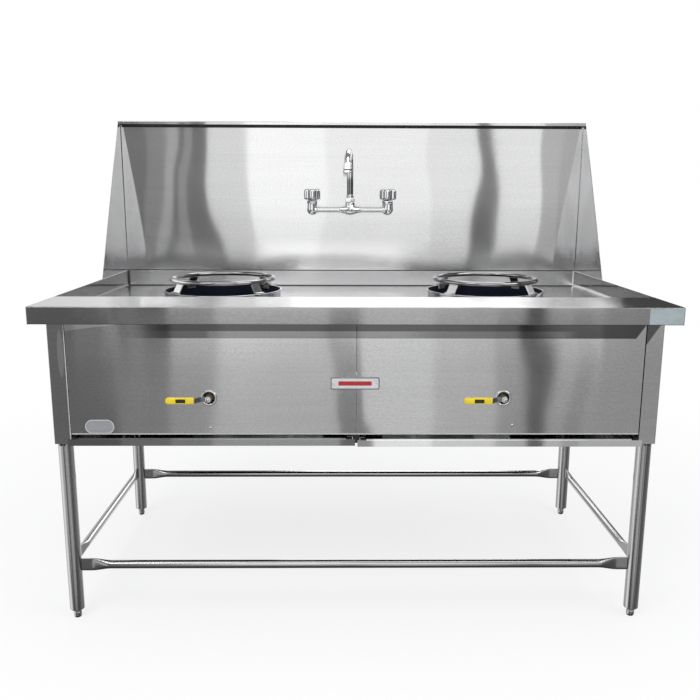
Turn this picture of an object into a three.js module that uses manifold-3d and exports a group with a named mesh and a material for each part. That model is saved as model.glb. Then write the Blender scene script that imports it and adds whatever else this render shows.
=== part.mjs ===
// A two-burner wok range of folded stainless sheet: recessed worktop, splashes on three sides, cabinet with gas
// fittings and two drip trays, tube legs with cross rails, two wok rings and a wall-mounted mixer faucet.
// Millimetres. X runs right, Y to the back, Z up; the origin is on the floor under the middle of the range.

import * as THREE from 'three';
import { mergeVertices } from 'three/addons/utils/BufferGeometryUtils.js';
import Module from 'manifold-3d';

const wasm = await Module();
wasm.setup();

// Overall
const WIDTH = 1600;
const DEPTH = 950;
const RIM = 850; // top of the worktop's rim
const SPLASH_HEIGHT = 510;
const SPLASH_DEPTH = 920; // front of the range to the face of the back splash
const SHEET = 1.5;
const THIN = 1.2; // cabinet skins
const GAP = 0.3; // left where two pieces meet

// Worktop
const FASCIA = 44;
const HEM = 15;
const SHELF = 192; // flat shelf along the front edge
const RECESS = 50;
const GUTTER_START = 700; // the floor falls to the back from this depth
const GUTTER_FALL = 5;
const DRAIN = { x: 388, depth: 865, radius: 20 };

// Splashes
const LIP_DEPTH = 32;
const LIP_DROP = 10;
const SIDE_FOOT = 620; // depth at which the sloping edge of a side splash starts

// Cabinet
const CABINET_HALF = 768;
const CABINET_FRONT = 36;
const CABINET_BACK = 762;
const CABINET_BOTTOM = 492;
const RETURN = 43;
const PANEL_FRONT = 38;
const PANEL_BOTTOM = 516;

// Legs and rails
const LEG_RADIUS = 19.05;
const LEG_WALL = 1.5;
const LEG_X = 747;
const LEG_DEPTHS = { front: 57, back: 738 };
const LEG_BOTTOM = 25;
const RAIL_RADIUS = 11.1;
const RAIL_HEIGHTS = { x: 151, y: 164 };
const FLAT_HALF = [2.2, 18]; // a flattened rail end, across and up

// Burners
const BURNER_X = 388;
const BURNER_DEPTH = 433;
const COLLAR_RADIUS = 169.5;
const COLLAR_WALL = 2;
const COLLAR_Z = [742, 842];
const RING_RADIUS = 145;
const RING_BAR = 6;
const RING_Z = 873;
const STRAP = { width: 28, thickness: 4 };
const STRAP_TURN = { left: -6, right: 8 }; // degrees off the diagonals
const MIXER_Z = 712;
const MIXER_FRONT = 212;
const SHUTTER_THICKNESS = 3;

// Gas train
const VALVE_X = 372;
const VALVE_Z = 613;
const VALVE_HALF = 32; // half the height of a valve body
const VALVE_HOLE = 15; // in the front panel
const STEM_END = 45; // depth of the valve boss's front
const GAS_DEPTH = 85;
const GAS_PIPE = 13.5;
const RISER_PIPE = 10.5;
const MANIFOLD_Z = 548;
const INLET_X = -600;
const LEVER_LENGTH = 103;
const LEVER_WIDTH = 13;
const LEVER_DEPTHS = { hub: 22, grip: 8 };

// Drip trays
const TRAY_X = [-733, -3];
const TRAY_FRONT = 33.4;
const TRAY_BACK = 735;
const TRAY_LIP_Z = [488, 505];
const TRAY_DROP = { left: 0, right: 2.5 };
const TRAY_WALL = 1.2;
const TRAY_FLOOR = 490;
const TRAY_RIM = 508;
const TRAY_INSET = 27; // tray wall behind the outer end of its lip
const LEDGE = 16;

// Faucet
const FAUCET_X = -8;
const FAUCET_DEPTH = 865;
const FAUCET_Z = 1065;
const INLET_HALF = 132.5;
const SPOUT_TUBE = 10.5;
const SPOUT_REACH = 124;
const SPOUT_BEND_Z = 1196;
const SPOUT_TURN = -4.4; // degrees
const NUT_TOP = 1109;
const HANDLE_Z = [1097.5, 1135];
const SUPPLY_DEPTH = 935;

// Plates on the front
const NAMEPLATE = { x: [-65.5, 58.5], z: [635, 667] };
const RATING_PLATE = { x: -651, z: 537.5, half: [37, 18.5] };

const SIDES = { left: -1, right: 1 };
const FRONT = -DEPTH / 2;
const FLOOR = RIM - RECESS; // worktop floor
const TOP = RIM + SPLASH_HEIGHT;

const material = (color, roughness, metalness) => new THREE.MeshStandardMaterial({ color, roughness, metalness });
const stainless = () => material(0xb4b6b8, 0.32, 1);
const chrome = () => material(0xe2e4e6, 0.08, 1);
const castIron = () => material(0x1b1b1e, 0.7, 0.6);
const brass = () => material(0xb08d4a, 0.35, 1);
const blackPipe = () => material(0x3a3a3c, 0.5, 0.8);
const yellowVinyl = () => material(0xe6c51e, 0.45, 0);

const at = (depth) => FRONT + depth;
const spanAt = ([from, to]) => [at(from), at(to)];
const degrees = THREE.MathUtils.degToRad;

// ---- Shapes -------------------------------------------------------------------------------------------------

function box([x0, x1], [y0, y1], [z0, z1]) {
  const geometry = new THREE.BoxGeometry(x1 - x0, y1 - y0, z1 - z0);
  return geometry.translate((x0 + x1) / 2, (y0 + y1) / 2, (z0 + z1) / 2);
}

// A round bar between two points, tapered where the end radius differs.
function rod(from, to, radius, segments = 16, endRadius = radius) {
  const start = new THREE.Vector3(...from);
  const span = new THREE.Vector3(...to).sub(start);
  const geometry = new THREE.CylinderGeometry(endRadius, radius, span.length(), segments);
  const turn = new THREE.Quaternion().setFromUnitVectors(new THREE.Vector3(0, 1, 0), span.clone().normalize());
  const middle = start.addScaledVector(span, 0.5);
  return geometry.applyQuaternion(turn).translate(middle.x, middle.y, middle.z);
}

// A profile of [radius, height] points turned about Z.
function turned(profile, segments = 24) {
  const points = profile.map(([radius, height]) => new THREE.Vector2(radius, height));
  return new THREE.LatheGeometry(points, segments).rotateX(Math.PI / 2);
}

function ball([x, y, z], radius, segments = 12) {
  return new THREE.SphereGeometry(radius, segments, segments / 2).translate(x, y, z);
}

function polygon(points) {
  return new THREE.Shape(points.map(([u, v]) => new THREE.Vector2(u, v)));
}

function ellipse(u, v, halfU, halfV, points = 28) {
  const turn = (i) => (2 * Math.PI * i) / points;
  return polygon(Array.from({ length: points }, (_, i) => [
    u + halfU * Math.cos(turn(i)),
    v + halfV * Math.sin(turn(i)),
  ]));
}

// A sheet folded along a line of points; its thickness lies to the left of the line.
function folded(points, thickness = SHEET) {
  const line = points.map(([u, v]) => new THREE.Vector2(u, v));
  const normal = (from, to) => new THREE.Vector2(from.y - to.y, to.x - from.x).normalize();
  const offset = line.map((point, i) => {
    const before = i > 0 ? normal(line[i - 1], point) : normal(point, line[i + 1]);
    const after = i < line.length - 1 ? normal(point, line[i + 1]) : before;
    const mitre = before.clone().add(after).multiplyScalar(thickness / (1 + before.dot(after)));
    return point.clone().add(mitre);
  });
  return new THREE.Shape([...line, ...offset.reverse()]);
}

// A shape drawn in (y, z), (x, z) or (x, y), extruded along the axis left over.
function extruded(shape, axis, [from, to]) {
  const geometry = new THREE.ExtrudeGeometry(shape, { depth: to - from, bevelEnabled: false, curveSegments: 12 });
  if (axis === 'x') {
    return geometry.rotateX(Math.PI / 2).rotateZ(Math.PI / 2).translate(from, 0, 0);
  }
  if (axis === 'y') {
    return geometry.rotateX(Math.PI / 2).translate(0, to, 0);
  }
  return geometry.translate(0, 0, from);
}

// A closed skin over sections, each a ring of the same number of [x, y, z] points.
function lofted(sections) {
  const count = sections[0].length;
  const rings = sections.flat(2);
  const caps = [0, sections.length - 1].map((i) => {
    const sum = sections[i].reduce((total, point) => total.map((value, k) => value + point[k]));
    return sum.map((value) => value / count);
  });
  const first = sections.length * count;
  const index = [];
  for (let i = 0; i < count; i += 1) {
    const next = (i + 1) % count;
    for (let s = 0; s < sections.length - 1; s += 1) {
      const [a, b, c, d] = [s * count + i, s * count + next, (s + 1) * count + next, (s + 1) * count + i];
      index.push(a, b, c, a, c, d);
    }
    const end = (sections.length - 1) * count;
    index.push(first, next, i, first + 1, end + i, end + next);
  }
  const geometry = new THREE.BufferGeometry();
  geometry.setAttribute('position', new THREE.Float32BufferAttribute([...rings, ...caps.flat()], 3));
  geometry.setIndex(index);
  return geometry;
}

function signedVolume(position, index) {
  const [a, b, c] = [new THREE.Vector3(), new THREE.Vector3(), new THREE.Vector3()];
  let volume = 0;
  for (let i = 0; i < index.length; i += 3) {
    a.fromBufferAttribute(position, index[i]);
    b.fromBufferAttribute(position, index[i + 1]);
    c.fromBufferAttribute(position, index[i + 2]);
    volume += a.dot(b.cross(c)) / 6;
  }
  return volume;
}

// The same surface with shared vertices, no collapsed triangles, and every face pointing out.
function closed(geometry) {
  const bare = new THREE.BufferGeometry();
  bare.setAttribute('position', geometry.attributes.position);
  bare.setIndex(geometry.index);
  const merged = mergeVertices(bare, 1e-3);
  const source = merged.index.array;
  const index = [];
  for (let i = 0; i < source.length; i += 3) {
    const corners = [source[i], source[i + 1], source[i + 2]];
    if (new Set(corners).size === 3) {
      index.push(...corners);
    }
  }
  merged.setIndex(signedVolume(merged.attributes.position, index) < 0 ? index.reverse() : index);
  return merged;
}

function toSolid(geometry) {
  const mesh = closed(geometry);
  return new wasm.Manifold(new wasm.Mesh({
    numProp: 3,
    vertProperties: new Float32Array(mesh.attributes.position.array),
    triVerts: new Uint32Array(mesh.index.array),
  }));
}

function fromSolid(solid) {
  const mesh = solid.getMesh();
  const geometry = new THREE.BufferGeometry();
  geometry.setAttribute('position', new THREE.BufferAttribute(mesh.vertProperties, 3));
  geometry.setIndex(new THREE.BufferAttribute(mesh.triVerts, 1));
  return geometry;
}

const join = (...pieces) => fromSolid(pieces.map(toSolid).reduce((sum, piece) => sum.add(piece)));
const cut = (base, ...tools) => fromSolid(tools.map(toSolid).reduce((rest, tool) => rest.subtract(tool), toSolid(base)));

const range = new THREE.Group();

function add(name, geometry, finish, [x, y, z] = [0, 0, 0]) {
  const mesh = new THREE.Mesh(closed(geometry), finish);
  mesh.name = name;
  mesh.position.set(x, y, z);
  range.add(mesh);
}

// ---- Worktop and splashes -----------------------------------------------------------------------------------

function worktop() {
  const half = WIDTH / 2;
  const fall = FLOOR - GUTTER_FALL;
  // Fascia hem, fascia, front shelf, drop, floor, gutter, back wall, rear ledge, rear skirt.
  const section = folded([
    [at(HEM), RIM - FASCIA],
    [at(0), RIM - FASCIA],
    [at(0), RIM],
    [at(SHELF), RIM],
    [at(SHELF), FLOOR],
    [at(GUTTER_START), FLOOR],
    [at(SPLASH_DEPTH), fall],
    [at(SPLASH_DEPTH), RIM],
    [at(DEPTH), RIM],
    [at(DEPTH), RIM - FASCIA],
  ].reverse());
  const sideWall = polygon([
    [at(0), RIM - FASCIA],
    [at(SHELF - SHEET), RIM - FASCIA],
    [at(SHELF - SHEET), FLOOR - SHEET],
    [at(GUTTER_START), FLOOR - SHEET],
    [at(SPLASH_DEPTH + SHEET), fall - SHEET],
    [at(SPLASH_DEPTH + SHEET), RIM - FASCIA],
    [at(DEPTH), RIM - FASCIA],
    [at(DEPTH), RIM],
    [at(0), RIM],
  ]);
  const body = join(
    extruded(section, 'x', [-half + SHEET / 2, half - SHEET / 2]),
    extruded(sideWall, 'x', [-half, -half + SHEET]),
    extruded(sideWall, 'x', [half - SHEET, half]),
  );
  const hole = ([x, y], z, radius, segments) => rod([x, y, z - 20], [x, y, z + 15], radius, segments);
  return cut(
    body,
    hole([-BURNER_X, at(BURNER_DEPTH)], FLOOR, COLLAR_RADIUS + GAP, 40),
    hole([BURNER_X, at(BURNER_DEPTH)], FLOOR, COLLAR_RADIUS + GAP, 40),
    hole([DRAIN.x, at(DRAIN.depth)], FLOOR, DRAIN.radius + GAP, 24),
    ...supplyPipeXs().map((x) => hole([x, at(SUPPLY_DEPTH)], RIM, RISER_PIPE + 1, 16)),
  );
}

const supplyPipeXs = () => Object.values(SIDES).map((side) => FAUCET_X + side * INLET_HALF);

function backSplash() {
  const half = WIDTH / 2 - SHEET - GAP;
  const low = RIM + GAP;
  const face = at(SPLASH_DEPTH);
  const rear = at(DEPTH - SHEET - GAP);
  const profile = folded([
    [rear, low],
    [face, low],
    [face, TOP - SHEET],
    [face - LIP_DEPTH + SHEET, TOP - SHEET],
    [face - LIP_DEPTH + SHEET, TOP - LIP_DROP],
  ].reverse());
  const edge = (side) => box(
    side < 0 ? [-half, -half + SHEET] : [half - SHEET, half],
    [face + SHEET / 2, rear],
    [low, TOP - SHEET],
  );
  const lipEnd = (side) => box(
    side < 0 ? [-WIDTH / 2, -half + 1] : [half - 1, WIDTH / 2],
    [face - LIP_DEPTH, face + SHEET],
    [TOP - SHEET, TOP],
  );
  const inletHole = (x) => rod([x, face - 10, FAUCET_Z], [x, face + 10, FAUCET_Z], RISER_PIPE + 1);
  const pipeHole = (x) => rod([x, at(SUPPLY_DEPTH), low - 10], [x, at(SUPPLY_DEPTH), low + 10], RISER_PIPE + 1);
  return cut(
    join(extruded(profile, 'x', [-half, half]), edge(-1), edge(1), lipEnd(-1), lipEnd(1)),
    ...supplyPipeXs().flatMap((x) => [inletHole(x), pipeHole(x)]),
  );
}

function sideSplash(side) {
  const low = RIM + GAP;
  const top = TOP - SHEET - GAP;
  const lipBottom = TOP - LIP_DROP - GAP;
  const lipFront = SPLASH_DEPTH - LIP_DEPTH;
  const outline = polygon([
    [at(SIDE_FOOT), low],
    [at(lipFront), lipBottom],
    [at(lipFront + SHEET + GAP), lipBottom],
    [at(lipFront + SHEET + GAP), top],
    [at(DEPTH - SHEET), top],
    [at(DEPTH - SHEET), low],
  ]);
  const half = WIDTH / 2;
  return extruded(outline, 'x', side < 0 ? [-half, -half + SHEET] : [half - SHEET, half]);
}

function drainOutlet() {
  const { x, depth, radius } = DRAIN;
  const flangeZ = FLOOR - 2.7;
  const wall = 2;
  const cup = turned([
    [radius - wall, 700],
    [radius, 700],
    [radius, flangeZ],
    [radius + 12, flangeZ],
    [radius + 12, flangeZ + 1.5],
    [radius - wall, flangeZ + 1.5],
    [radius - wall, 700],
  ], 24);
  const strainer = cut(
    rod([0, 0, flangeZ - 8], [0, 0, flangeZ - 6], radius - wall + 0.5, 24),
    ...Array.from({ length: 6 }, (_, i) => {
      const turn = (i * Math.PI) / 3;
      const [u, v] = [10 * Math.cos(turn), 10 * Math.sin(turn)];
      return rod([u, v, flangeZ - 20], [u, v, flangeZ + 5], 3.5, 8);
    }),
  );
  return join(cup, strainer).translate(x, at(depth), 0);
}

// ---- Cabinet ------------------------------------------------------------------------------------------------

function sidePanel(side) {
  const edge = side * CABINET_HALF;
  const line = [
    [edge - side * RETURN, at(CABINET_FRONT)],
    [edge, at(CABINET_FRONT)],
    [edge, at(CABINET_BACK)],
    [edge - side * 28, at(CABINET_BACK)],
  ];
  const skin = extruded(folded(side < 0 ? line.reverse() : line, THIN), 'z', [CABINET_BOTTOM, RIM - 4]);
  const underFloor = FLOOR - SHEET - GUTTER_FALL - GAP;
  return cut(skin, box([-WIDTH, WIDTH], [at(SHELF - SHEET - 1), at(DEPTH)], [underFloor, RIM]));
}

function frontPanel(side) {
  const [inner, outer] = [side * GAP, side * (CABINET_HALF - RETURN - GAP)];
  const [low, high] = [Math.min(inner, outer), Math.max(inner, outer)];
  const front = at(PANEL_FRONT);
  const returnDepth = 15;
  const plan = folded([
    [low, front + returnDepth],
    [low, front],
    [high, front],
    [high, front + returnDepth],
  ], THIN);
  const sill = box([low, high], [front, front + returnDepth], [PANEL_BOTTOM, PANEL_BOTTOM + THIN]);
  const skin = join(extruded(plan, 'z', [PANEL_BOTTOM, RIM - 5]), sill);
  const x = side * VALVE_X;
  return cut(skin, rod([x, front - 5, VALVE_Z], [x, front + 5, VALVE_Z], VALVE_HOLE, 20));
}

function backPanel() {
  const half = CABINET_HALF - THIN - GAP;
  const span = [at(CABINET_BACK - 2 * THIN - GAP), at(CABINET_BACK - THIN - GAP)];
  const sheet = box([-half, half], span, [PANEL_BOTTOM, FLOOR - SHEET - GUTTER_FALL - GAP]);
  const slots = [-1.5, -0.5, 0.5, 1.5].flatMap((column) => [700, 730].map((z) => {
    const x = column * 330;
    return box([x - 60, x + 60], [span[0] - 5, span[1] + 5], [z, z + 10]);
  }));
  const y = span[0];
  return cut(sheet, ...slots, rod([INLET_X, y - 5, MANIFOLD_Z], [INLET_X, y + 5, MANIFOLD_Z], GAS_PIPE + 2));
}

// An angle bar under the worktop between two legs, lying from its upright's face at `inner` to `outer`.
function frameRail(axis, [from, to], inner, outer, top) {
  const thickness = 3;
  const width = 30;
  const upright = inner + Math.sign(outer - inner) * thickness;
  const place = (a, b, z) => {
    const across = [Math.min(a, b), Math.max(a, b)];
    return axis === 'x' ? box([from, to], across, z) : box(across, [from, to], z);
  };
  return join(place(inner, outer, [top - thickness, top]), place(inner, upright, [top - width, top - 1]));
}

// ---- Legs ---------------------------------------------------------------------------------------------------

function leg(top) {
  const bore = 7;
  const inner = LEG_RADIUS - LEG_WALL;
  const insert = 20;
  return turned([
    [bore, LEG_BOTTOM],
    [LEG_RADIUS, LEG_BOTTOM],
    [LEG_RADIUS, top],
    [inner, top],
    [inner, LEG_BOTTOM + insert],
    [bore, LEG_BOTTOM + insert],
    [bore, LEG_BOTTOM],
  ], 20);
}

function foot() {
  const stem = 6.2;
  return turned([
    [0, 0],
    [8, 0],
    [10.5, 3],
    [10.5, 17],
    [8.5, LEG_BOTTOM - GAP],
    [stem, LEG_BOTTOM - GAP],
    [stem, LEG_BOTTOM + 38],
    [0, LEG_BOTTOM + 38],
  ], 14);
}

// A tube along X whose ends are pressed flat and upright where they meet the legs.
function crossRail(half) {
  const [flatAcross, flatUp] = FLAT_HALF;
  const round = [RAIL_RADIUS, RAIL_RADIUS];
  const stations = [
    [half, flatAcross, flatUp],
    [half - 28, flatAcross, flatUp * 0.95],
    [half - 60, ...round],
    [60 - half, ...round],
    [28 - half, flatAcross, flatUp * 0.95],
    [-half, flatAcross, flatUp],
  ];
  const points = 14;
  return lofted(stations.map(([x, across, up]) => Array.from({ length: points }, (_, i) => {
    const turn = (2 * Math.PI * i) / points;
    return [x, across * Math.cos(turn), up * Math.sin(turn)];
  })));
}

// ---- Burners ------------------------------------------------------------------------------------------------

function burnerCollar() {
  const [low, high] = COLLAR_Z;
  const inner = COLLAR_RADIUS - COLLAR_WALL;
  const tube = turned([
    [inner, low],
    [COLLAR_RADIUS, low],
    [COLLAR_RADIUS, high - 6],
    [COLLAR_RADIUS + 2.5, high - 5],
    [COLLAR_RADIUS + 2.5, high],
    [inner, high],
    [inner, low],
  ], 40);
  const bar = box([-inner - 1, inner + 1], [-32, 32], [low + 1, low + 6]);
  return join(tube, cut(bar, rod([0, 0, low - 5], [0, 0, low + 15], 24, 20)));
}

function wokRing(turn) {
  const inner = COLLAR_RADIUS - COLLAR_WALL;
  const rest = COLLAR_Z[1] + GAP;
  const ring = new THREE.TorusGeometry(RING_RADIUS, RING_BAR, 8, 36).translate(0, 0, RING_Z);
  const half = STRAP.width / 2;
  // Down and out from the ring, over the collar's rim by a lug, and down inside the collar.
  const strap = extruded(folded([
    [RING_RADIUS + 2, RING_Z - 3],
    [inner - 3, rest + 2],
    [inner - 3, rest - 28],
  ].reverse(), STRAP.thickness), 'y', [-half, half]);
  const lug = box([inner - 5, COLLAR_RADIUS + 4], [-half, half], [rest, rest + STRAP.thickness]);
  const straps = [45, 135, 225, 315].flatMap((angle) => [strap, lug].map(
    (piece) => piece.clone().rotateZ(degrees(angle + turn)),
  ));
  return join(ring, ...straps);
}

function burnerHead() {
  const seat = COLLAR_Z[0] + 6 + GAP;
  const deck = seat + 42;
  const bowl = turned([
    [0, seat],
    [40, seat],
    [40, seat + 8],
    [70, seat + 18],
    [92, seat + 30],
    [92, seat + 37],
    [80, deck],
    [0, deck],
  ], 24);
  const rings = [[1, 0], [4, 34], [8, 68]];
  const nozzles = rings.flatMap(([count, radius]) => Array.from({ length: count }, (_, i) => {
    const turn = (2 * Math.PI * i) / count;
    const [x, y] = [radius * Math.cos(turn), radius * Math.sin(turn)];
    return rod([x, y, deck - 2], [x, y, deck + 6], 6, 6, 4.5);
  }));
  return join(bowl, ...nozzles);
}

// The mixer bell at the front, the tube back to the burner and up to its seat. Origin at the burner's centre.
function mixingTube() {
  const bell = MIXER_FRONT - BURNER_DEPTH;
  const radius = 21;
  const tube = join(
    rod([0, bell, MIXER_Z], [0, bell + 26, MIXER_Z], 32, 20, radius),
    rod([0, bell + 25, MIXER_Z], [0, 0, MIXER_Z], radius),
    rod([0, 0, MIXER_Z], [0, 0, COLLAR_Z[0] + 6 - GAP], radius),
    ball([0, 0, MIXER_Z], radius + 2),
  );
  return cut(tube, rod([0, bell - 5, MIXER_Z], [0, bell + 16, MIXER_Z], 27, 16, 18));
}

function airShutter() {
  const disc = rod([0, 0, 0], [0, SHUTTER_THICKNESS, 0], 31, 20);
  const windows = [90, 210, 330].map((angle) => {
    const [x, z] = [20 * Math.cos(degrees(angle)), 20 * Math.sin(degrees(angle))];
    return rod([x, -5, z], [x, 8, z], 7, 10);
  });
  return cut(disc, rod([0, -5, 0], [0, 8, 0], 10, 12), ...windows);
}

// ---- Gas train ----------------------------------------------------------------------------------------------

function gasManifold() {
  const y = at(GAS_DEPTH);
  const end = VALVE_X + 40;
  const inletEnd = at(CABINET_BACK + 60);
  const tee = (side) => rod([side * VALVE_X, y, MANIFOLD_Z], [side * VALVE_X, y, VALVE_Z - VALVE_HALF - GAP], GAS_PIPE);
  return join(
    rod([INLET_X, y, MANIFOLD_Z], [end, y, MANIFOLD_Z], GAS_PIPE),
    rod([end - 14, y, MANIFOLD_Z], [end + 4, y, MANIFOLD_Z], GAS_PIPE + 4, 8),
    tee(-1),
    tee(1),
    ball([INLET_X, y, MANIFOLD_Z], GAS_PIPE + 4),
    rod([INLET_X, y, MANIFOLD_Z], [INLET_X, inletEnd, MANIFOLD_Z], GAS_PIPE),
    rod([INLET_X, inletEnd - 18, MANIFOLD_Z], [INLET_X, inletEnd, MANIFOLD_Z], GAS_PIPE + 4, 8),
  );
}

function gasRiser(x) {
  const y = at(GAS_DEPTH);
  const jet = at(MIXER_FRONT - 20);
  return join(
    rod([x, y, VALVE_Z + VALVE_HALF + GAP], [x, y, MIXER_Z], RISER_PIPE, 12),
    ball([x, y, MIXER_Z], RISER_PIPE + 4),
    rod([x, y, MIXER_Z], [x, jet, MIXER_Z], RISER_PIPE, 12),
    rod([x, jet - 1, MIXER_Z], [x, jet + 24, MIXER_Z], 8, 12, 4),
  );
}

function valveBody(x) {
  const profile = [[0, -32], [17, -32], [17, -20], [21, -13], [21, 13], [17, 20], [17, 32], [0, 32]];
  const y = at(GAS_DEPTH);
  return join(
    turned(profile, 12).translate(x, y, VALVE_Z),
    rod([x, y, VALVE_Z], [x, at(STEM_END), VALVE_Z], 9, 12),
    rod([x, at(STEM_END + 12), VALVE_Z], [x, at(STEM_END + 4), VALVE_Z], 12, 6),
  );
}

// A strap with a step, its hub on the valve's stem; it points left with the valve shut.
function valveLever(x) {
  const { hub, grip } = LEVER_DEPTHS;
  const strap = folded([
    [x - LEVER_LENGTH + 3, at(grip)],
    [x - 31, at(grip)],
    [x - 18, at(hub)],
    [x + 11, at(hub)],
  ], 3);
  const half = LEVER_WIDTH / 2;
  return join(
    extruded(strap, 'z', [VALVE_Z - half, VALVE_Z + half]),
    rod([x, at(hub + 1), VALVE_Z], [x, at(hub + 4), VALVE_Z], 11, 16),
    rod([x, at(STEM_END - GAP), VALVE_Z], [x, at(hub - 8), VALVE_Z], 4.5, 12),
    rod([x, at(hub + 1), VALVE_Z], [x, at(hub - 5), VALVE_Z], 8, 6),
  );
}

function leverGrip(x) {
  const from = x - LEVER_LENGTH;
  const to = from + 70;
  const middle = LEVER_DEPTHS.grip + 1.5;
  const sleeve = extruded(ellipse(at(middle), VALVE_Z, 5.2, 9.4, 16), 'x', [from, to]);
  const half = LEVER_WIDTH / 2 + GAP;
  const pocket = box([from + 2, to + 5], spanAt([middle - 1.5 - GAP, middle + 1.5 + GAP]), [VALVE_Z - half, VALVE_Z + half]);
  return cut(sleeve, pocket);
}

function valveBezel(x) {
  const inner = VALVE_HOLE + 0.5;
  const profile = [[inner, 0], [20, 0], [20, 1.5], [18, 4], [inner, 4], [inner, 0]];
  return turned(profile, 24).rotateX(Math.PI / 2).translate(x, at(PANEL_FRONT) - GAP, VALVE_Z);
}

// ---- Drip trays ---------------------------------------------------------------------------------------------

function dripTray(side) {
  const [outer, inner] = TRAY_X.map(Math.abs);
  const lip = [inner, outer];
  const body = [inner + 23, outer - TRAY_INSET];
  const flanged = [body[0] - LEDGE, body[1] + LEDGE];
  const spanY = spanAt([TRAY_FRONT + 2, TRAY_BACK]);
  const place = ([a, b], y, z) => box(side < 0 ? [-b, -a] : [a, b], y, z);
  const shrink = ([a, b]) => [a + TRAY_WALL, b - TRAY_WALL];
  const shell = cut(
    place(body, spanY, [TRAY_FLOOR, TRAY_RIM]),
    place(shrink(body), shrink(spanY), [TRAY_FLOOR + TRAY_WALL, TRAY_RIM + 5]),
  );
  const flanges = [[flanged[0], body[0] + TRAY_WALL], [body[1] - TRAY_WALL, flanged[1]]].map(
    (span) => place(span, spanAt([80, TRAY_BACK]), [TRAY_RIM - TRAY_WALL, TRAY_RIM]),
  );
  const front = place(lip, spanAt([TRAY_FRONT, TRAY_FRONT + 2.2]), TRAY_LIP_Z);
  return join(shell, ...flanges, front);
}

// A ledge that a tray's flange slides on, with its upright against the cabinet's side.
function sideRunner(side) {
  const upright = CABINET_HALF - THIN - GAP;
  const bodyEdge = Math.abs(TRAY_X[0]) - TRAY_INSET;
  const top = TRAY_RIM - TRAY_WALL - GAP - sideDrop(side);
  const place = ([a, b], z) => box(side < 0 ? [-b, -a] : [a, b], spanAt([80, 716]), z);
  return join(
    place([bodyEdge + 2, upright], [top - 2, top]),
    place([upright - 2, upright], [top - 1, top + 22]),
  );
}

const sideDrop = (side) => (side < 0 ? TRAY_DROP.left : TRAY_DROP.right);

function centreRunner() {
  const ledge = (side) => {
    const top = TRAY_RIM - TRAY_WALL - GAP - sideDrop(side);
    return box(side < 0 ? [-24, 0] : [0, 24], spanAt([56, 756]), [top - 2, top]);
  };
  return join(box([-1.5, 1.5], spanAt([56, 756]), [502, 530]), ledge(-1), ledge(1));
}

// ---- Faucet -------------------------------------------------------------------------------------------------

function faucetBody() {
  const y = at(FAUCET_DEPTH);
  const wall = at(SPLASH_DEPTH) - GAP;
  const arm = (side) => {
    const x = side * INLET_HALF;
    return [
      rod([x, y, FAUCET_Z], [x, wall, FAUCET_Z], 11, 12),
      rod([x, wall - 9, FAUCET_Z], [x, wall, FAUCET_Z], 18, 16, 27),
      rod([x, y, FAUCET_Z - 15], [x, y, HANDLE_Z[0] - 8], 15, 16, 12.5),
      rod([x, y, FAUCET_Z], [x - side * 32, y, FAUCET_Z], 14, 12, 8.5),
      rod([x, y, HANDLE_Z[0] - 9], [x, y, HANDLE_Z[0] - GAP], 8, 12),
    ];
  };
  const parts = [
    rod([-INLET_HALF, y, FAUCET_Z], [INLET_HALF, y, FAUCET_Z], 8.5, 12),
    rod([-40, y, FAUCET_Z], [0, y, FAUCET_Z], 8.5, 12, 16),
    rod([0, y, FAUCET_Z], [40, y, FAUCET_Z], 16, 12, 8.5),
    rod([0, y, FAUCET_Z - 4], [0, y, NUT_TOP - 20], 18, 16, 12),
    rod([0, y, NUT_TOP - 21], [0, y, NUT_TOP], 15.5, 6),
    ...arm(-1),
    ...arm(1),
  ];
  return join(...parts).translate(FAUCET_X, 0, 0);
}

// The gooseneck, drawn along -Y with its swivel on the origin, then swung to where it rests.
class Gooseneck extends THREE.Curve {
  getPoint(t, target = new THREE.Vector3()) {
    const radius = SPOUT_REACH / 2;
    const [rise, arc, drop] = [SPOUT_BEND_Z - NUT_TOP - GAP, Math.PI * radius, 9];
    const along = t * (rise + arc + drop);
    if (along < rise) {
      return target.set(0, 0, NUT_TOP + GAP + along);
    }
    const turn = (along - rise) / radius;
    if (turn < Math.PI) {
      return target.set(0, radius * (Math.cos(turn) - 1), SPOUT_BEND_Z + radius * Math.sin(turn));
    }
    return target.set(0, -SPOUT_REACH, SPOUT_BEND_Z - (along - rise - arc));
  }
}

function spout() {
  const section = ellipse(0, 0, SPOUT_TUBE, SPOUT_TUBE, 12);
  const tube = new THREE.ExtrudeGeometry(section, { steps: 26, extrudePath: new Gooseneck() });
  const low = SPOUT_BEND_Z - 9;
  const aerator = rod([0, -SPOUT_REACH, low], [0, -SPOUT_REACH, low + 28], SPOUT_TUBE + 2.5, 16);
  return join(tube, aerator).rotateZ(degrees(SPOUT_TURN));
}

// A fluted knob with four lobes on a quarter-turn stem.
function faucetHandle() {
  const points = 32;
  const outline = polygon(Array.from({ length: points }, (_, i) => {
    const turn = (2 * Math.PI * i) / points;
    const radius = 23.5 + 4 * Math.cos(4 * turn);
    return [radius * Math.cos(turn), radius * Math.sin(turn)];
  }));
  return extruded(outline, 'z', HANDLE_Z);
}

// From the wall flange back through the splash, then down behind it to a threaded end.
function supplyPipe(x) {
  const y = at(SUPPLY_DEPTH);
  const low = 770;
  return join(
    rod([x, at(SPLASH_DEPTH + SHEET + GAP), FAUCET_Z], [x, y, FAUCET_Z], RISER_PIPE, 12),
    ball([x, y, FAUCET_Z], RISER_PIPE + 1.5),
    rod([x, y, FAUCET_Z], [x, y, low], RISER_PIPE, 12),
    rod([x, y, low], [x, y, low + 16], RISER_PIPE + 3, 8),
  );
}

// ---- Plates -------------------------------------------------------------------------------------------------

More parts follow.
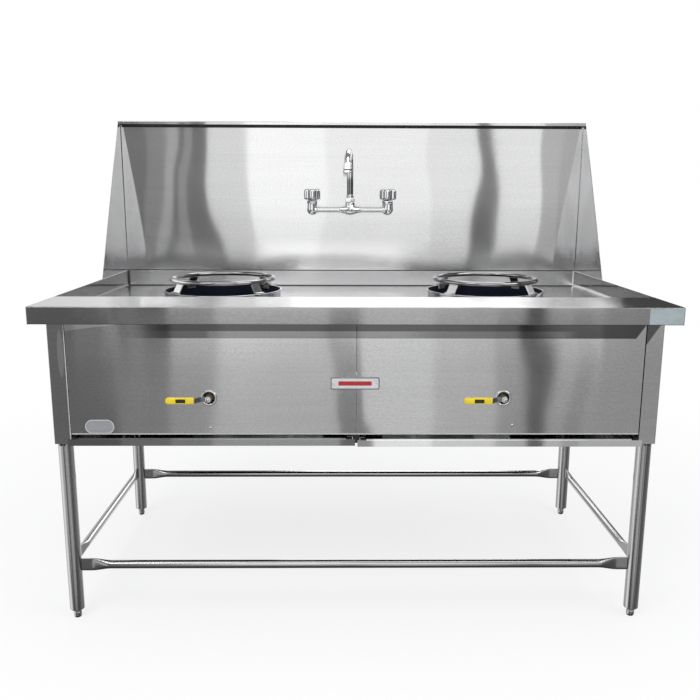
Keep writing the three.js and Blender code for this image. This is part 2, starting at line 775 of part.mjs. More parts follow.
function nameplate() {
  const { x: [x0, x1], z: [z0, z1] } = NAMEPLATE;
  const corner = 4;
  const outline = polygon([
    [x0 + corner, z0], [x1 - corner, z0], [x1, z0 + corner], [x1, z1 - corner],
    [x1 - corner, z1], [x0 + corner, z1], [x0, z1 - corner], [x0, z0 + corner],
  ]);
  return extruded(outline, 'y', spanAt([PANEL_FRONT - GAP - 1.2, PANEL_FRONT - GAP]));
}

function ratingPlate() {
  const { x, z, half: [halfX, radius] } = RATING_PLATE;
  const outline = new THREE.Shape();
  outline.absarc(x + halfX - radius, z, radius, -Math.PI / 2, Math.PI / 2);
  outline.absarc(x - halfX + radius, z, radius, Math.PI / 2, 1.5 * Math.PI);
  return extruded(outline, 'y', spanAt([PANEL_FRONT - GAP - 0.8, PANEL_FRONT - GAP]));
}

// ---- Assembly -----------------------------------------------------------------------------------------------

add('worktop', worktop(), stainless());
add('back_splash', backSplash(), stainless());
add('back_panel', backPanel(), stainless());
add('drain_outlet', drainOutlet(), stainless());
add('gas_manifold', gasManifold(), blackPipe());
add('tray_runner_centre', centreRunner(), stainless());
add('faucet_body', faucetBody(), chrome());
add('faucet_spout', spout(), chrome(), [FAUCET_X, at(FAUCET_DEPTH), 0]);
add('nameplate', nameplate(), stainless());
add('rating_plate', ratingPlate(), stainless());

for (const [name, side] of Object.entries(SIDES)) {
  const burner = [side * BURNER_X, at(BURNER_DEPTH), 0];
  const valveX = side * VALVE_X;
  const faucetX = FAUCET_X + side * INLET_HALF;
  add(`side_splash_${name}`, sideSplash(side), stainless());
  add(`side_panel_${name}`, sidePanel(side), stainless());
  add(`front_panel_${name}`, frontPanel(side), stainless());
  add(`burner_collar_${name}`, burnerCollar(), stainless(), burner);
  add(`wok_ring_${name}`, wokRing(STRAP_TURN[name]), stainless(), burner);
  add(`burner_head_${name}`, burnerHead(), castIron(), burner);
  add(`mixing_tube_${name}`, mixingTube(), castIron(), burner);
  const shutterY = at(MIXER_FRONT - SHUTTER_THICKNESS - GAP);
  add(`air_shutter_${name}`, airShutter(), blackPipe(), [burner[0], shutterY, MIXER_Z]);
  add(`gas_riser_${name}`, gasRiser(side * BURNER_X), blackPipe());
  add(`valve_body_${name}`, valveBody(valveX), brass());
  add(`valve_lever_${name}`, valveLever(valveX), stainless());
  add(`lever_grip_${name}`, leverGrip(valveX), yellowVinyl());
  add(`valve_bezel_${name}`, valveBezel(valveX), chrome());
  add(`drip_tray_${name}`, dripTray(side), stainless(), [0, 0, -TRAY_DROP[name]]);
  add(`tray_runner_${name}`, sideRunner(side), stainless());
  add(`faucet_handle_${name}`, faucetHandle(), chrome(), [faucetX, at(FAUCET_DEPTH), 0]);
  add(`supply_pipe_${name}`, supplyPipe(faucetX), stainless());
}

const LEG_TOPS = { front: RIM - SHEET - 1, back: FLOOR - SHEET - GUTTER_FALL - 1 };
const FRAME_DEPTHS = { front: [84, 54], back: [723, 753] };
const clear = LEG_RADIUS + GAP;
const across = [-LEG_X + clear, LEG_X - clear];
const along = [at(LEG_DEPTHS.front) + clear, at(LEG_DEPTHS.back) - clear];

for (const [end, depth] of Object.entries(LEG_DEPTHS)) {
  for (const [name, side] of Object.entries(SIDES)) {
    add(`leg_${end}_${name}`, leg(LEG_TOPS[end]), stainless(), [side * LEG_X, at(depth), 0]);
    add(`foot_${end}_${name}`, foot(), stainless(), [side * LEG_X, at(depth), 0]);
  }
  const [inner, outer] = FRAME_DEPTHS[end];
  const rail = frameRail('x', across, at(inner), at(outer), LEG_TOPS[end]);
  add(`frame_rail_${end}`, rail, stainless());
  add(`cross_rail_${end}`, crossRail(LEG_X - clear), stainless(), [0, at(depth), RAIL_HEIGHTS.x]);
}

for (const [name, side] of Object.entries(SIDES)) {
  const rail = frameRail('y', along, side * (LEG_X - 15), side * (LEG_X + 15), LEG_TOPS.back);
  add(`frame_rail_${name}`, rail, stainless());
  const middle = at((LEG_DEPTHS.front + LEG_DEPTHS.back) / 2);
  const half = (LEG_DEPTHS.back - LEG_DEPTHS.front) / 2 - clear;
  add(`cross_rail_${name}`, crossRail(half).rotateZ(Math.PI / 2), stainless(), [side * LEG_X, middle, RAIL_HEIGHTS.y]);
}

export default range;
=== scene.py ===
"""The looks of a two-burner wok range: brushed stainless sheet with folded edges, chromed mixer faucet,
blackened burner collars, bright wok rings and yellow valve levers. Metres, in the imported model's frame."""
import math

import bmesh
import bpy
import numpy as np
from mathutils import Matrix, Vector, noise


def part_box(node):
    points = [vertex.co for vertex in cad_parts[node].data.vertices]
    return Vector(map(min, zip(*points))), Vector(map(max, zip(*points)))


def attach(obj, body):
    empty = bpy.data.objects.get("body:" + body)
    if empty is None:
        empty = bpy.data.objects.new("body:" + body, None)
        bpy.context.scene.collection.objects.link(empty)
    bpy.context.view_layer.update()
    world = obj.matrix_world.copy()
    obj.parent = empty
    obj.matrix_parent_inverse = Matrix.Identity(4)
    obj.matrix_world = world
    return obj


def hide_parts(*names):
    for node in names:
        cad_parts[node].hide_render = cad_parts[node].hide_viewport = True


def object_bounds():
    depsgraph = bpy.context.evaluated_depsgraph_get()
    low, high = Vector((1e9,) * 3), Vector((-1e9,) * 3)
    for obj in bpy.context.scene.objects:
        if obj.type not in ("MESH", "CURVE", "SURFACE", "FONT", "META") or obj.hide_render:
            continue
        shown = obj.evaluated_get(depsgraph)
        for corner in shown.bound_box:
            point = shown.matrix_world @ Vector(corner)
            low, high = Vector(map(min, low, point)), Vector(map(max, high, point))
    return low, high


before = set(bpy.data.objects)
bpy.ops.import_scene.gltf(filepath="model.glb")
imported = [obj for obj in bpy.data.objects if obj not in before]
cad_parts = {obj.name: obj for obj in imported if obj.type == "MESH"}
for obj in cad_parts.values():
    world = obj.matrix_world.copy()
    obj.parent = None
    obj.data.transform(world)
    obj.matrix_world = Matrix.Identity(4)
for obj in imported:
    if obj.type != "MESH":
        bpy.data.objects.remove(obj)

CAD_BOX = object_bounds()
MM = 0.001
SIDES = {"left": -1, "right": 1}
ROOT = "range"

# Driving dimensions, the same as the part's own
HALF_WIDTH = CAD_BOX[1].x
FRONT = CAD_BOX[0].y
BACK = CAD_BOX[1].y
TOP = CAD_BOX[1].z
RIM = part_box("worktop")[1].z
SHEET = 1.5 * MM
THIN = 1.2 * MM
GAP = 0.3 * MM
BEND = 2.0 * MM  # outer radius of a fold
FASCIA = 44 * MM
HEM = 15 * MM
SHELF = 192 * MM
RECESS = 50 * MM
GUTTER_START = 700 * MM
GUTTER_FALL = 5 * MM
SPLASH_DEPTH = 920 * MM
LIP_DEPTH = 32 * MM
LIP_DROP = 10 * MM
SIDE_FOOT = 620 * MM
FLOOR = RIM - RECESS
COLLAR_RADIUS = 169.5 * MM
COLLAR_WALL = 2 * MM
RING_RADIUS = 147 * MM
RING_HEIGHT = 873 * MM
RING_BAR = 6.8 * MM
STRAP_WIDTH = 28 * MM
STRAP_THICKNESS = 4 * MM
DRAIN_HOLE = 20.3 * MM
PIPE_HOLE = 11.5 * MM
INLET_RISE = 27 * MM  # the faucet's inlets over its lowest point

# How far loose and turning pieces stand from square, in degrees
STRAP_TURN = {"left": 0, "right": -1}
HANDLE_TURN = {"left": 12, "right": -20}
SPOUT_TURN = -4.4

# The photograph's camera
IMAGE_SIDE = 700
FOCAL_PIXELS = 775.45
CAMERA_PLACE = (-0.0389, -2.3355, 1.1182)
CAMERA_PITCH = 11.360
CAMERA_YAW = 0.6725
CAMERA_ROLL = 0.1966

# The studio's screens: side walls at both sides, a drape in front, a rear wall, a ceiling and a pit
WALL = 4
DRAPE = -3.07
REAR = 3.2
CEILING = 3.2
PIT = -3


def depth(value):
    """The Y of a point that lies this far behind the fascia."""
    return FRONT + value


def boxed(node):
    """The low corner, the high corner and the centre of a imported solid."""
    low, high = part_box(node)
    return low, high, (low + high) / 2


def span(side, *reaches):
    """Two distances from the middle as a rising pair of X."""
    return sorted(side * reach for reach in reaches)


# ---- Meshes


def linked(name, data):
    obj = bpy.data.objects.new(name, data)
    bpy.context.scene.collection.objects.link(obj)
    return obj


def mesh_object(vertices, faces, name="part", merge=1e-6):
    """A new mesh with its doubled vertices merged and its faces turned out."""
    mesh = bpy.data.meshes.new(name)
    mesh.from_pydata([tuple(v) for v in vertices], [], faces)
    bm = bmesh.new()
    bm.from_mesh(mesh)
    bmesh.ops.remove_doubles(bm, verts=bm.verts, dist=merge)
    bmesh.ops.dissolve_degenerate(bm, edges=bm.edges, dist=merge)
    bmesh.ops.recalc_face_normals(bm, faces=bm.faces)
    bm.to_mesh(mesh)
    bm.free()
    return linked(name, mesh)


def modify(obj, kind, **settings):
    modifier = obj.modifiers.new(kind.lower(), kind)
    for key, value in settings.items():
        setattr(modifier, key, value)


def bake(obj):
    """Applies the object's modifiers to its mesh."""
    bpy.context.view_layer.update()
    graph = bpy.context.evaluated_depsgraph_get()
    mesh = bpy.data.meshes.new_from_object(obj.evaluated_get(graph))
    obj.modifiers.clear()
    obj.data = mesh
    return obj


def carve(obj, *cutters):
    for cutter in cutters:
        modify(obj, "BOOLEAN", operation="DIFFERENCE", solver="EXACT", object=cutter)
    bake(obj)
    for cutter in cutters:
        bpy.data.objects.remove(cutter)


def rounded_edges(obj, width, segments=3, angle=30):
    limit = math.radians(angle)
    modify(obj, "BEVEL", width=width, segments=segments, limit_method="ANGLE", angle_limit=limit)
    return bake(obj)


def joined(*objects):
    """One object out of several, with their materials kept."""
    materials = list(dict.fromkeys(m for obj in objects for m in obj.data.materials))
    bm = bmesh.new()
    for obj in objects:
        start = len(bm.faces)
        bm.from_mesh(obj.data)
        bm.faces.ensure_lookup_table()
        slots = [materials.index(m) for m in obj.data.materials]
        for face in bm.faces[start:] if slots else ():
            face.material_index = slots[face.material_index]
        bpy.data.objects.remove(obj)
    mesh = bpy.data.meshes.new("part")
    bm.to_mesh(mesh)
    bm.free()
    for material in materials:
        mesh.materials.append(material)
    return linked("part", mesh)


def painted(obj, material):
    obj.data.materials.clear()
    obj.data.materials.append(material)
    return obj


def repainted(obj, material, test):
    """Gives the faces that pass the test another material."""
    obj.data.materials.append(material)
    for face in obj.data.polygons:
        if test(face):
            face.material_index = len(obj.data.materials) - 1
    return obj


def settle(name, *parts, body=ROOT, slot="stainless", node=None, sharp=32, mirrored=True):
    """Joins the parts of a piece, names and shades it, and lets it ride on its body in place of a node."""
    obj = joined(*parts) if len(parts) > 1 else parts[0]
    obj.name = name
    obj.data.name = name
    obj.data.shade_smooth()
    obj.data.set_sharp_from_angle(angle=math.radians(sharp))
    modify(obj, "WEIGHTED_NORMAL", mode="FACE_AREA", weight=60, keep_sharp=True)
    bake(obj).data.name = name
    obj.visible_glossy = mirrored
    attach(obj, body)
    if node:
        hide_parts(node)


def moved(obj, x=0, y=0, z=0, turn=0.0, axis="Z"):
    obj.data.transform(Matrix.Translation((x, y, z)) @ Matrix.Rotation(turn, 4, axis))
    return obj


def to_front(obj, x, y, z):
    """Lays an upright piece down so that its top faces the front."""
    return moved(obj, x, y, z, math.pi / 2, "X")


def box(low, high, edge=0.0):
    corners = [(x, y, z) for x in (low[0], high[0]) for y in (low[1], high[1]) for z in (low[2], high[2])]
    faces = [(0, 1, 3, 2), (4, 6, 7, 5), (0, 4, 5, 1), (2, 3, 7, 6), (0, 2, 6, 4), (1, 5, 7, 3)]
    obj = mesh_object(corners, faces)
    return rounded_edges(obj, edge) if edge else obj


# ---- Lines


def around(count, start=0.0):
    """Cosine and sine of equal steps round a circle."""
    turns = [start + 2 * math.pi * i / count for i in range(count)]
    return [(math.cos(turn), math.sin(turn)) for turn in turns]


def circle(u, v, radius, count=32, start=0.0):
    return [(u + radius * c, v + radius * s) for c, s in around(count, start)]


def squarish(width, height, power, count):
    """An ellipse that swells towards its rectangle as the power falls below 1."""
    swell = lambda value: math.copysign(abs(value) ** power, value)
    return [(width * swell(c), height * swell(s)) for c, s in around(count)]


def rounded_box(low, high, radius, inset=0.0, steps=4):
    """A rectangle's outline with round corners, drawn in by the inset."""
    room = radius + inset
    u0, v0, u1, v1 = low[0] + room, low[1] + room, high[0] - room, high[1] - room
    points = []
    for u, v, start in ((u1, v1, 0), (u0, v1, 90), (u0, v0, 180), (u1, v0, 270)):
        for i in range(steps + 1):
            turn = math.radians(start + 90 * i / steps)
            points.append((u + radius * math.cos(turn), v + radius * math.sin(turn)))
    return points


def mitred(points, offset):
    """A plane line moved to its left, with mitred corners."""
    line = [Vector(p) for p in points]
    result = []
    for i, point in enumerate(line):
        steps = [line[k + 1] - line[k] for k in (i - 1, i) if 0 <= k < len(line) - 1]
        normals = [Vector((-step.y, step.x)).normalized() for step in steps]
        total = normals[0] + normals[-1]
        result.append(point + total * offset / (1 + normals[0].dot(normals[-1])))
    return result


def rounded(points, radius, steps=4, spacing=math.inf):
    """A line with its corners as arcs and its straights cut to short lengths."""
    line = [Vector(p) for p in points]
    result = [line[0]]
    for before, corner, after in zip(line, line[1:], line[2:]):
        a = (before - corner).normalized()
        b = (after - corner).normalized()
        half = a.angle(b) / 2
        if half > math.radians(89.9):
            result.append(corner)
            continue
        reach = min(radius / math.tan(half), 0.49 * (before - corner).length, 0.49 * (after - corner).length)
        inner = corner + (a + b).normalized() * (reach / math.cos(half))
        start = corner + a * reach - inner
        end = corner + b * reach - inner
        turn = start.angle(end)
        for t in np.linspace(0, 1, steps + 1):
            mix = start * math.sin((1 - t) * turn) + end * math.sin(t * turn)
            result.append(inner + mix / math.sin(turn))
    result.append(line[-1])
    cut = [result[0]]
    for a, b in zip(result, result[1:]):
        count = max(1, math.ceil((b - a).length / spacing))
        cut.extend(a.lerp(b, (i + 1) / count) for i in range(count))
    return cut


def normals_of(line):
    """Left-hand unit normals along a plane line."""
    steps = [b - a for a, b in zip([line[0], *line], [*line[1:], line[-1]])]
    return [Vector((-step.y, step.x)).normalized() for step in steps]


def stations(low, high, spacing):
    return list(np.linspace(low, high, max(1, math.ceil((high - low) / spacing)) + 1))


# ---- Surfaces

AXES = {
    "x": lambda u, v, s: Vector((s, u, v)),
    "y": lambda u, v, s: Vector((u, s, v)),
    "z": lambda u, v, s: Vector((u, v, s)),
}


def skin(rings, wrap=True, looped=False, ends=()):
    """A surface over rings with the same number of points. wrap closes each ring, looped joins the last ring
    to the first, and ends are further faces."""
    count = len(rings[0])
    faces = [*ends]
    for r in range(len(rings) - (not looped)):
        n = (r + 1) % len(rings) * count
        for i in range(count - (not wrap)):
            j = (i + 1) % count
            faces.append((r * count + i, r * count + j, n + j, n + i))
    return mesh_object([point for ring in rings for point in ring], faces)


def lofted(rings):
    """A closed skin with flat ends."""
    count, total = len(rings[0]), len(rings) * len(rings[0])
    return skin(rings, ends=[tuple(range(count - 1, -1, -1)), tuple(range(total - count, total))])


def slab(rings):
    """A closed skin over rings that run out on one face of a sheet and back on the other."""
    count = len(rings[0])
    ends = []
    for k in (0, len(rings) - 1):
        for i in range(count // 2 - 1):
            a, c = k * count + i, (k + 1) * count - 2 - i
            ends.append((a, a + 1, c, c + 1))
    return skin(rings, ends=ends)


def folded_sheet(points, axis, along, thickness=SHEET, radius=BEND, spacing=0.02, wave=None):
    """Sheet folded along a line in the plane across `axis` and run through the stations `along`. The points
    are its visible face, its thickness lies to their left. wave(point, normal) pushes it along its normal."""
    middle = rounded(mitred(points, thickness / 2), radius - thickness / 2, 4, spacing)
    rings = []
    for s in along:
        face, back = [], []
        for point, normal in zip(middle, normals_of(middle)):
            place, out = AXES[axis](*point, s), AXES[axis](*normal, 0)
            push = wave(place, out) if wave else 0
            face.append(place + out * (push - thickness / 2))
            back.append(place + out * (push + thickness / 2))
        rings.append(face + back[::-1])
    return slab(rings)


def turned(points, segments, base=0.0, soft=0.0, steps=3, closed=False):
    """A body turned about Z. Its profile of (radius, height) in millimetres over the base ends on the axis
    or, when closed, on itself. soft rounds its corners; a function gives it at each cosine and sine."""
    if closed:
        half = Vector(points[0]).lerp(Vector(points[1]), 0.5)
        points = [half, *points[1:], points[0], half]
    if soft:
        points = rounded(points, soft, steps)
    if closed:
        points = points[:-1]
    shape = points if callable(points) else lambda c, s: points
    rings = [[(r * c * MM, r * s * MM, base + z * MM) for r, z in shape(c, s)] for c, s in around(segments)]
    return skin(rings, wrap=closed, looped=True)


def sweep(path, radius, segments=24, capped=True):
    """A round section along a line in space. radius is a number or a function of the share of the way."""
    points = [Vector(p) for p in path]
    lengths = np.cumsum([0] + [(b - a).length for a, b in zip(points, points[1:])])
    size = radius if callable(radius) else lambda share: radius
    tangent = (points[1] - points[0]).normalized()
    side = tangent.orthogonal().normalized()
    rings = []
    for i, point in enumerate(points):
        ahead = (points[min(i + 1, len(points) - 1)] - points[max(i - 1, 0)]).normalized()
        side = tangent.rotation_difference(ahead) @ side
        tangent = ahead
        up = tangent.cross(side)
        r = size(lengths[i] / lengths[-1])
        rings.append([point + (side * c + up * s) * r for c, s in around(segments)])
    return lofted(rings) if capped else skin(rings)


def fillet(line, first, second, radius=9 * MM, steps=6):
    """A hollow quarter round along a line of corner points, between two square directions."""
    rings = []
    for corner in line:
        centre = corner + (first + second) * radius
        arc = [centre - first * radius * math.cos(t) - second * radius * math.sin(t)
               for t in np.linspace(0, math.pi / 2, steps + 1)]
        rings.append([corner, *arc])
    return lofted(rings)


def bar(outline, axis, low, high, edge=0.0):
    """A plane outline run along an axis, its edges rounded."""
    obj = lofted([[AXES[axis](*p, s) for p in outline] for s in (low, high)])
    return rounded_edges(obj, edge, 2) if edge else obj


def framed(outer, inner, front, back):
    """A flat frame between two outlines with the same number of points."""
    edges = ((outer, front), (inner, front), (inner, back), (outer, back))
    return skin([[(u, y, v) for u, v in outline] for outline, y in edges], looped=True)


def smooth(t):
    """A soft step from 0 to 1."""
    t = min(max(t, 0.0), 1.0)
    return t * t * (3 - 2 * t)


def ripple(height, length, width, seed, fade, within):
    """Shallow unevenness of a thin sheet: it fades out towards the edges of the box `within`."""

    def push(point):
        sample = Vector((point.x / length, point.y / width, point.z / width))
        room = min(min(point[k] - low, high - point[k]) for k, low, high in within)
        return height * noise.noise(sample + Vector((seed, 0, seed))) * smooth(room / fade)

    return push


# ---- Materials


def rgba(colour):
    """A socket as it is, a colour with its alpha, or a grey out of one number."""
    if isinstance(colour, bpy.types.NodeSocket):
        return colour
    return (*colour, 1) if isinstance(colour, (tuple, list)) else (colour, colour, colour, 1)


class Tree:
    """The nodes of a material or of the world, with short calls that return a socket."""

    def __init__(self, owner, keep=False):
        owner.use_nodes = True
        self.owner = owner
        self.nodes = owner.node_tree.nodes
        self.links = owner.node_tree.links
        if not keep:
            self.nodes.clear()

    def put(self, value, socket):
        if isinstance(value, bpy.types.NodeSocket):
            self.links.new(value, socket)
        elif value is not None:
            socket.default_value = value

    def node(self, kind, *values, out=0, **named):
        """An output of a new node. The values go to its first inputs, and so do the names with a capital; the
        other names are settings."""
        node = self.nodes.new("ShaderNode" + kind)
        for key, value in named.items():
            if key.islower():
                setattr(node, key, value)
            else:
                self.put(value, node.inputs[key.replace("_", " ")])
        for value, socket in zip(values, node.inputs):
            self.put(value, socket)
        return node.outputs[out]

    def math(self, operation, a, b=None, c=None):
        return self.node("Math", a, b, c, operation=operation)

    def times(self, a, b, plus=None):
        return self.math("MULTIPLY" if plus is None else "MULTIPLY_ADD", a, b, plus)

    def ranged(self, value, low, high, from_low=0.0, from_high=1.0):
        """A soft step from low to high between two values."""
        return self.node("MapRange", interpolation_type="SMOOTHSTEP", Value=value, From_Min=from_low,
                         From_Max=from_high, To_Min=low, To_Max=high, out="Result")

    def mixed(self, share, a, b):
        return self.node("Mix", data_type="RGBA", Factor=share, A=rgba(a), B=rgba(b), out="Result")

    def seen_rays(self):
        """1 for camera, glossy and transmission rays."""
        path = self.nodes.new("ShaderNodeLightPath").outputs
        first = self.math("MAXIMUM", path["Is Camera Ray"], path["Is Glossy Ray"])
        return self.math("MAXIMUM", first, path["Is Transmission Ray"])

    def show(self, shader, kind="Material"):
        self.put(shader, self.nodes.new("ShaderNodeOutput" + kind).inputs["Surface"])


class Finish(Tree):
    """A material with one Principled shader."""

    def __init__(self, name, **constants):
        super().__init__(bpy.data.materials.new(name), keep=True)
        self.shader = self.nodes["Principled BSDF"].inputs
        for key, value in constants.items():
            self.shader[key.replace("_", " ")].default_value = value
        self.place = self.node("TexCoord", out="Object")

    def axes(self):
        """X, Y and Z of the place on the object."""
        parts = self.nodes.new("ShaderNodeSeparateXYZ")
        self.put(self.place, parts.inputs[0])
        return parts.outputs

    def noise(self, scale, stretch=(1, 1, 1), detail=3.0, roughness=0.5):
        place = self.node("Mapping", Vector=self.place, Scale=stretch)
        return self.node("TexNoise", Vector=place, Scale=scale, Detail=detail, Roughness=roughness, out="Fac")

    def streaks(self, run, along, across, detail, roughness=0.5):
        """Noise drawn out along the run."""
        return self.noise(1.0, [along if r else across for r in run], detail, roughness)

    def spotted(self, spots, colour, wear_and_highlight, low, high):
        return self.mixed(self.ranged(spots, 0, 1, low, high), colour, wear_and_highlight)

    def surface(self, colour, shade, spots, roughness, rise, low, high):
        """The base colour, with light and shade painted on by shade(finish, colour), and a roughness that
        rises with the spots.
        """
        self.put(shade(self, colour) if shade else colour, self.shader["Base Color"])
        self.put(self.ranged(spots, roughness, roughness + rise, low, high), self.shader["Roughness"])

    def bump(self, height, strength, distance):
        normal = self.node("Bump", Strength=strength, Distance=distance, Height=height)
        self.put(normal, self.shader["Normal"])


GRAIN = (1, 0, 0)
SCRATCH = 0.012  # millimetres


def brushed(name, tone=0.58, roughness=0.085, anisotropy=1.0, wave=6.5, shade=None):
    """Brushed stainless: fine lines along the grain, faint smears, and the shallow unevenness of rolled
    sheet, which wave gives in millimetres."""
    finish = Finish(name, Metallic=1.0, Anisotropic=anisotropy)
    lines = finish.streaks(GRAIN, 4.0, 420.0, 4.0, 0.6)
    bands = finish.streaks(GRAIN, 1.0, 30.0, 2.0)
    specks = finish.streaks(GRAIN, 150.0, 400.0, 2.0, 0.6)
    smears = finish.noise(5.0, (1, 1, 1), 4.0, 0.6)
    dark, light = [tone * 0.77, tone * 0.775, tone * 0.79], min(tone * 1.24, 1.0)
    grains = finish.times(bands, 0.15, finish.times(specks, 0.80, finish.times(lines, 0.30, -0.125)))
    finish.surface(finish.mixed(grains, dark, light), shade, smears, roughness, 0.02, 0.4, 0.75)
    scratches = finish.streaks(GRAIN, 0.2, 600.0, 0.0)
    waves = finish.noise(1.0, (2.9, 2.9, 2.3), 0.8, 0.35)
    finish.bump(finish.times(waves, wave, finish.times(scratches, SCRATCH)), 1.0, MM)
    normal = finish.node("NewGeometry", out="Normal")
    across = finish.node("VectorMath", normal, GRAIN, operation="CROSS_PRODUCT")
    finish.put(across, finish.shader["Tangent"])
    return finish.owner


def tube_steel(name, tone=0.46, roughness=0.15, run=(0, 0, 1), shade=None):
    """Polished stainless tube with faint lengthwise marks."""
    finish = Finish(name, Metallic=1.0)
    lines = finish.streaks(run, 5.0, 300.0, 3.0)
    smears = finish.streaks(run, 6.0, 30.0, 4.0)
    colour = finish.mixed(lines, tone * 0.92, tone * 1.06)
    finish.surface(colour, shade, smears, roughness - 0.03, 0.09, 0.3, 0.7)
    finish.bump(lines, 0.03, 0.3 * MM)
    return finish.owner


def polished(name, colour=(0.66, 0.67, 0.68), roughness=0.06, shade=None):
    """Chrome plate with water marks and fine wear."""
    finish = Finish(name, Metallic=1.0)
    spots = finish.noise(60.0, (1, 1, 1), 5.0, 0.65)
    plate = finish.spotted(spots, colour, [c * 0.93 for c in colour], 0.4, 0.8)
    finish.surface(plate, shade, spots, roughness, 0.12, 0.45, 0.8)
    finish.bump(finish.noise(35.0, (1, 1, 1), 2.0), 0.03, 0.6 * MM)
    return finish.owner


def blackened(name, colour, roughness, metallic, specular=0.5):
    """Black enamel or cast iron, with soot and a fine rough skin."""
    finish = Finish(name, Metallic=metallic, Specular_IOR_Level=specular)
    soot_and_shade = finish.noise(18.0, (1, 1, 1), 5.0, 0.6)
    colour = finish.spotted(soot_and_shade, colour, [c * 2.4 + 0.001 for c in colour], 0.3, 0.75)
    finish.surface(colour, None, soot_and_shade, roughness, 0.25, 0.3, 0.7)
    finish.bump(finish.noise(420.0), 0.35, 0.5 * MM)
    return finish.owner


def moulded(name, colour, roughness=0.38):
    """Dipped vinyl or paint: an even colour with slight scuffs and orange peel."""
    finish = Finish(name, Coat_Weight=0.15, Coat_Roughness=0.2)
    scuffs = finish.noise(90.0, (0.4, 1, 1), 5.0, 0.7)
    colour = finish.spotted(scuffs, colour, [c * 0.8 for c in colour], 0.35, 0.8)
    finish.surface(colour, None, scuffs, roughness, 0.2, 0.3, 0.8)
    finish.bump(finish.noise(600.0), 0.12, 0.4 * MM)
    return finish.owner


# ---- Painted light and shade: parts of a piece painted lighter or darker, as shadows, highlights and reflections


def under_fascia(finish, colour):
    """Painted shadow and reflection: the front panels are painted darker in two steps below the fascia, for
    its shadow and the mirrored dark underside of the worktop, and lighter at the left end as a painted
    reflection of its hem.
    """
    x, _, z = finish.axes()
    drop = finish.math("SUBTRACT", RIM - FASCIA, z)
    slant = finish.times(drop, 0.69, x)
    ends = finish.times(finish.ranged(x, 0, 1, -0.60, -0.46), finish.ranged(slant, 1, 0, 0.725, 0.728))
    near = finish.ranged(drop, 0.80, 0, 21.5 * MM, 23 * MM)
    levels = finish.ranged(x, finish.ranged(x, 0.68, 0.50, -0.38, -0.36), 0.62, 0.10, 0.20)
    levels = finish.ranged(x, levels, 0.80, 0.50, 0.56)
    far = finish.times(finish.ranged(drop, 1, 0, 39 * MM, 41 * MM), levels)
    shaded = finish.mixed(finish.times(ends, finish.math("MAXIMUM", near, far)), colour, 0.0)
    hem = finish.ranged(finish.times(x, 0.125, drop), 0.75, 0, -69.5 * MM, -68 * MM)
    return finish.mixed(hem, shaded, 1.0)


def dark_end(finish, colour):
    """Painted shade: the shelf is painted darker close to its right end."""
    return finish.mixed(finish.ranged(finish.axes()[0], 0, 0.72, 0.60, 0.70), colour, 0.0)


def bright_foot(finish, colour):
    """Painted highlight: the back splash is painted lighter along the middle of its foot, over the worktop.
    """
    x, _, z = finish.axes()
    across = finish.times(finish.ranged(x, 0, 1, -0.40, -0.27), finish.ranged(x, 1, 0, 0.12, 0.26))
    return finish.mixed(finish.times(across, finish.ranged(z, 0.72, 0, RIM + 0.03, RIM + 0.13)), colour, 1.0)


def corner_reflection_and_shadow(finish, colour):
    """Painted reflection and painted shadow: a long pale spot painted high on the left corner strip, and the
    right one painted darker below the worktop's underside.
    """
    spot_x, spot_z, half_width, half_height = -0.7370, 0.726, 8.5 * MM, 66 * MM
    x, _, z = finish.axes()
    across = finish.times(x, 1 / half_width, -spot_x / half_width)
    along = finish.times(z, 1 / half_height, -spot_z / half_height)
    reach = finish.times(along, along, finish.times(across, across))
    colour = finish.mixed(finish.ranged(reach, 0.65, 0, 0.55, 1.05), colour, 1.0)
    slant = finish.times(finish.math("SUBTRACT", RIM - FASCIA, z), 0.65, x)
    share = finish.times(finish.ranged(slant, 0.72, 0, 0.7600, 0.7620), finish.ranged(x, 0, 1, 0.30, 0.31))
    return finish.mixed(share, colour, 0.0)


def lit_side(centre):
    """Painted highlight: a wok ring's bar is painted bright on the front of its left end."""
    def shade(finish, colour):
        x, y, _ = finish.axes()
        left = finish.ranged(x, 1, 0, centre.x - 0.85 * RING_RADIUS, centre.x - 0.45 * RING_RADIUS)
        front = finish.ranged(y, 1, 0, centre.y - 0.02, centre.y + 0.03)
        return finish.mixed(finish.times(left, front), colour, 1.0)
    return shade


def spout_tones(column, bend_foot):
    """Painted shade and painted highlight: the gooseneck's riser is painted darker, its outlet side lighter.
    """
    def shade(finish, colour):
        _, y, z = finish.axes()
        riser_shade = finish.ranged(z, 0.72, 0, bend_foot - 34 * MM, bend_foot - 10 * MM)
        colour = finish.mixed(riser_shade, colour, 0.0)
        return finish.mixed(finish.ranged(y, 0.9, 0, column - 85 * MM, column - 35 * MM), colour, 1.0)
    return shade


def in_the_dark(finish, colour):
    """Painted shade: a drip tray is painted dark behind its lip, inside the slot."""
    soot_and_shade = finish.ranged(finish.axes()[1], 0, 0.94, depth(35.8 * MM), depth(37 * MM))
    return finish.mixed(soot_and_shade, colour, 0.0)


# Painted light and shade: the stainless finishes below are copies of one steel whose tones differ part by
# part; the darker ones stand in for shade, the lighter ones for highlights and bright reflections.
STEEL = brushed("stainless_brushed")
STEEL_SIDE = brushed("stainless_side", tone=0.46, roughness=0.12)
STEEL_SHELF = brushed("stainless_shelf", tone=0.86, roughness=0.20, wave=4.0, shade=dark_end)
STEEL_PAN = brushed("stainless_pan", tone=0.55, roughness=0.14, wave=4.0)
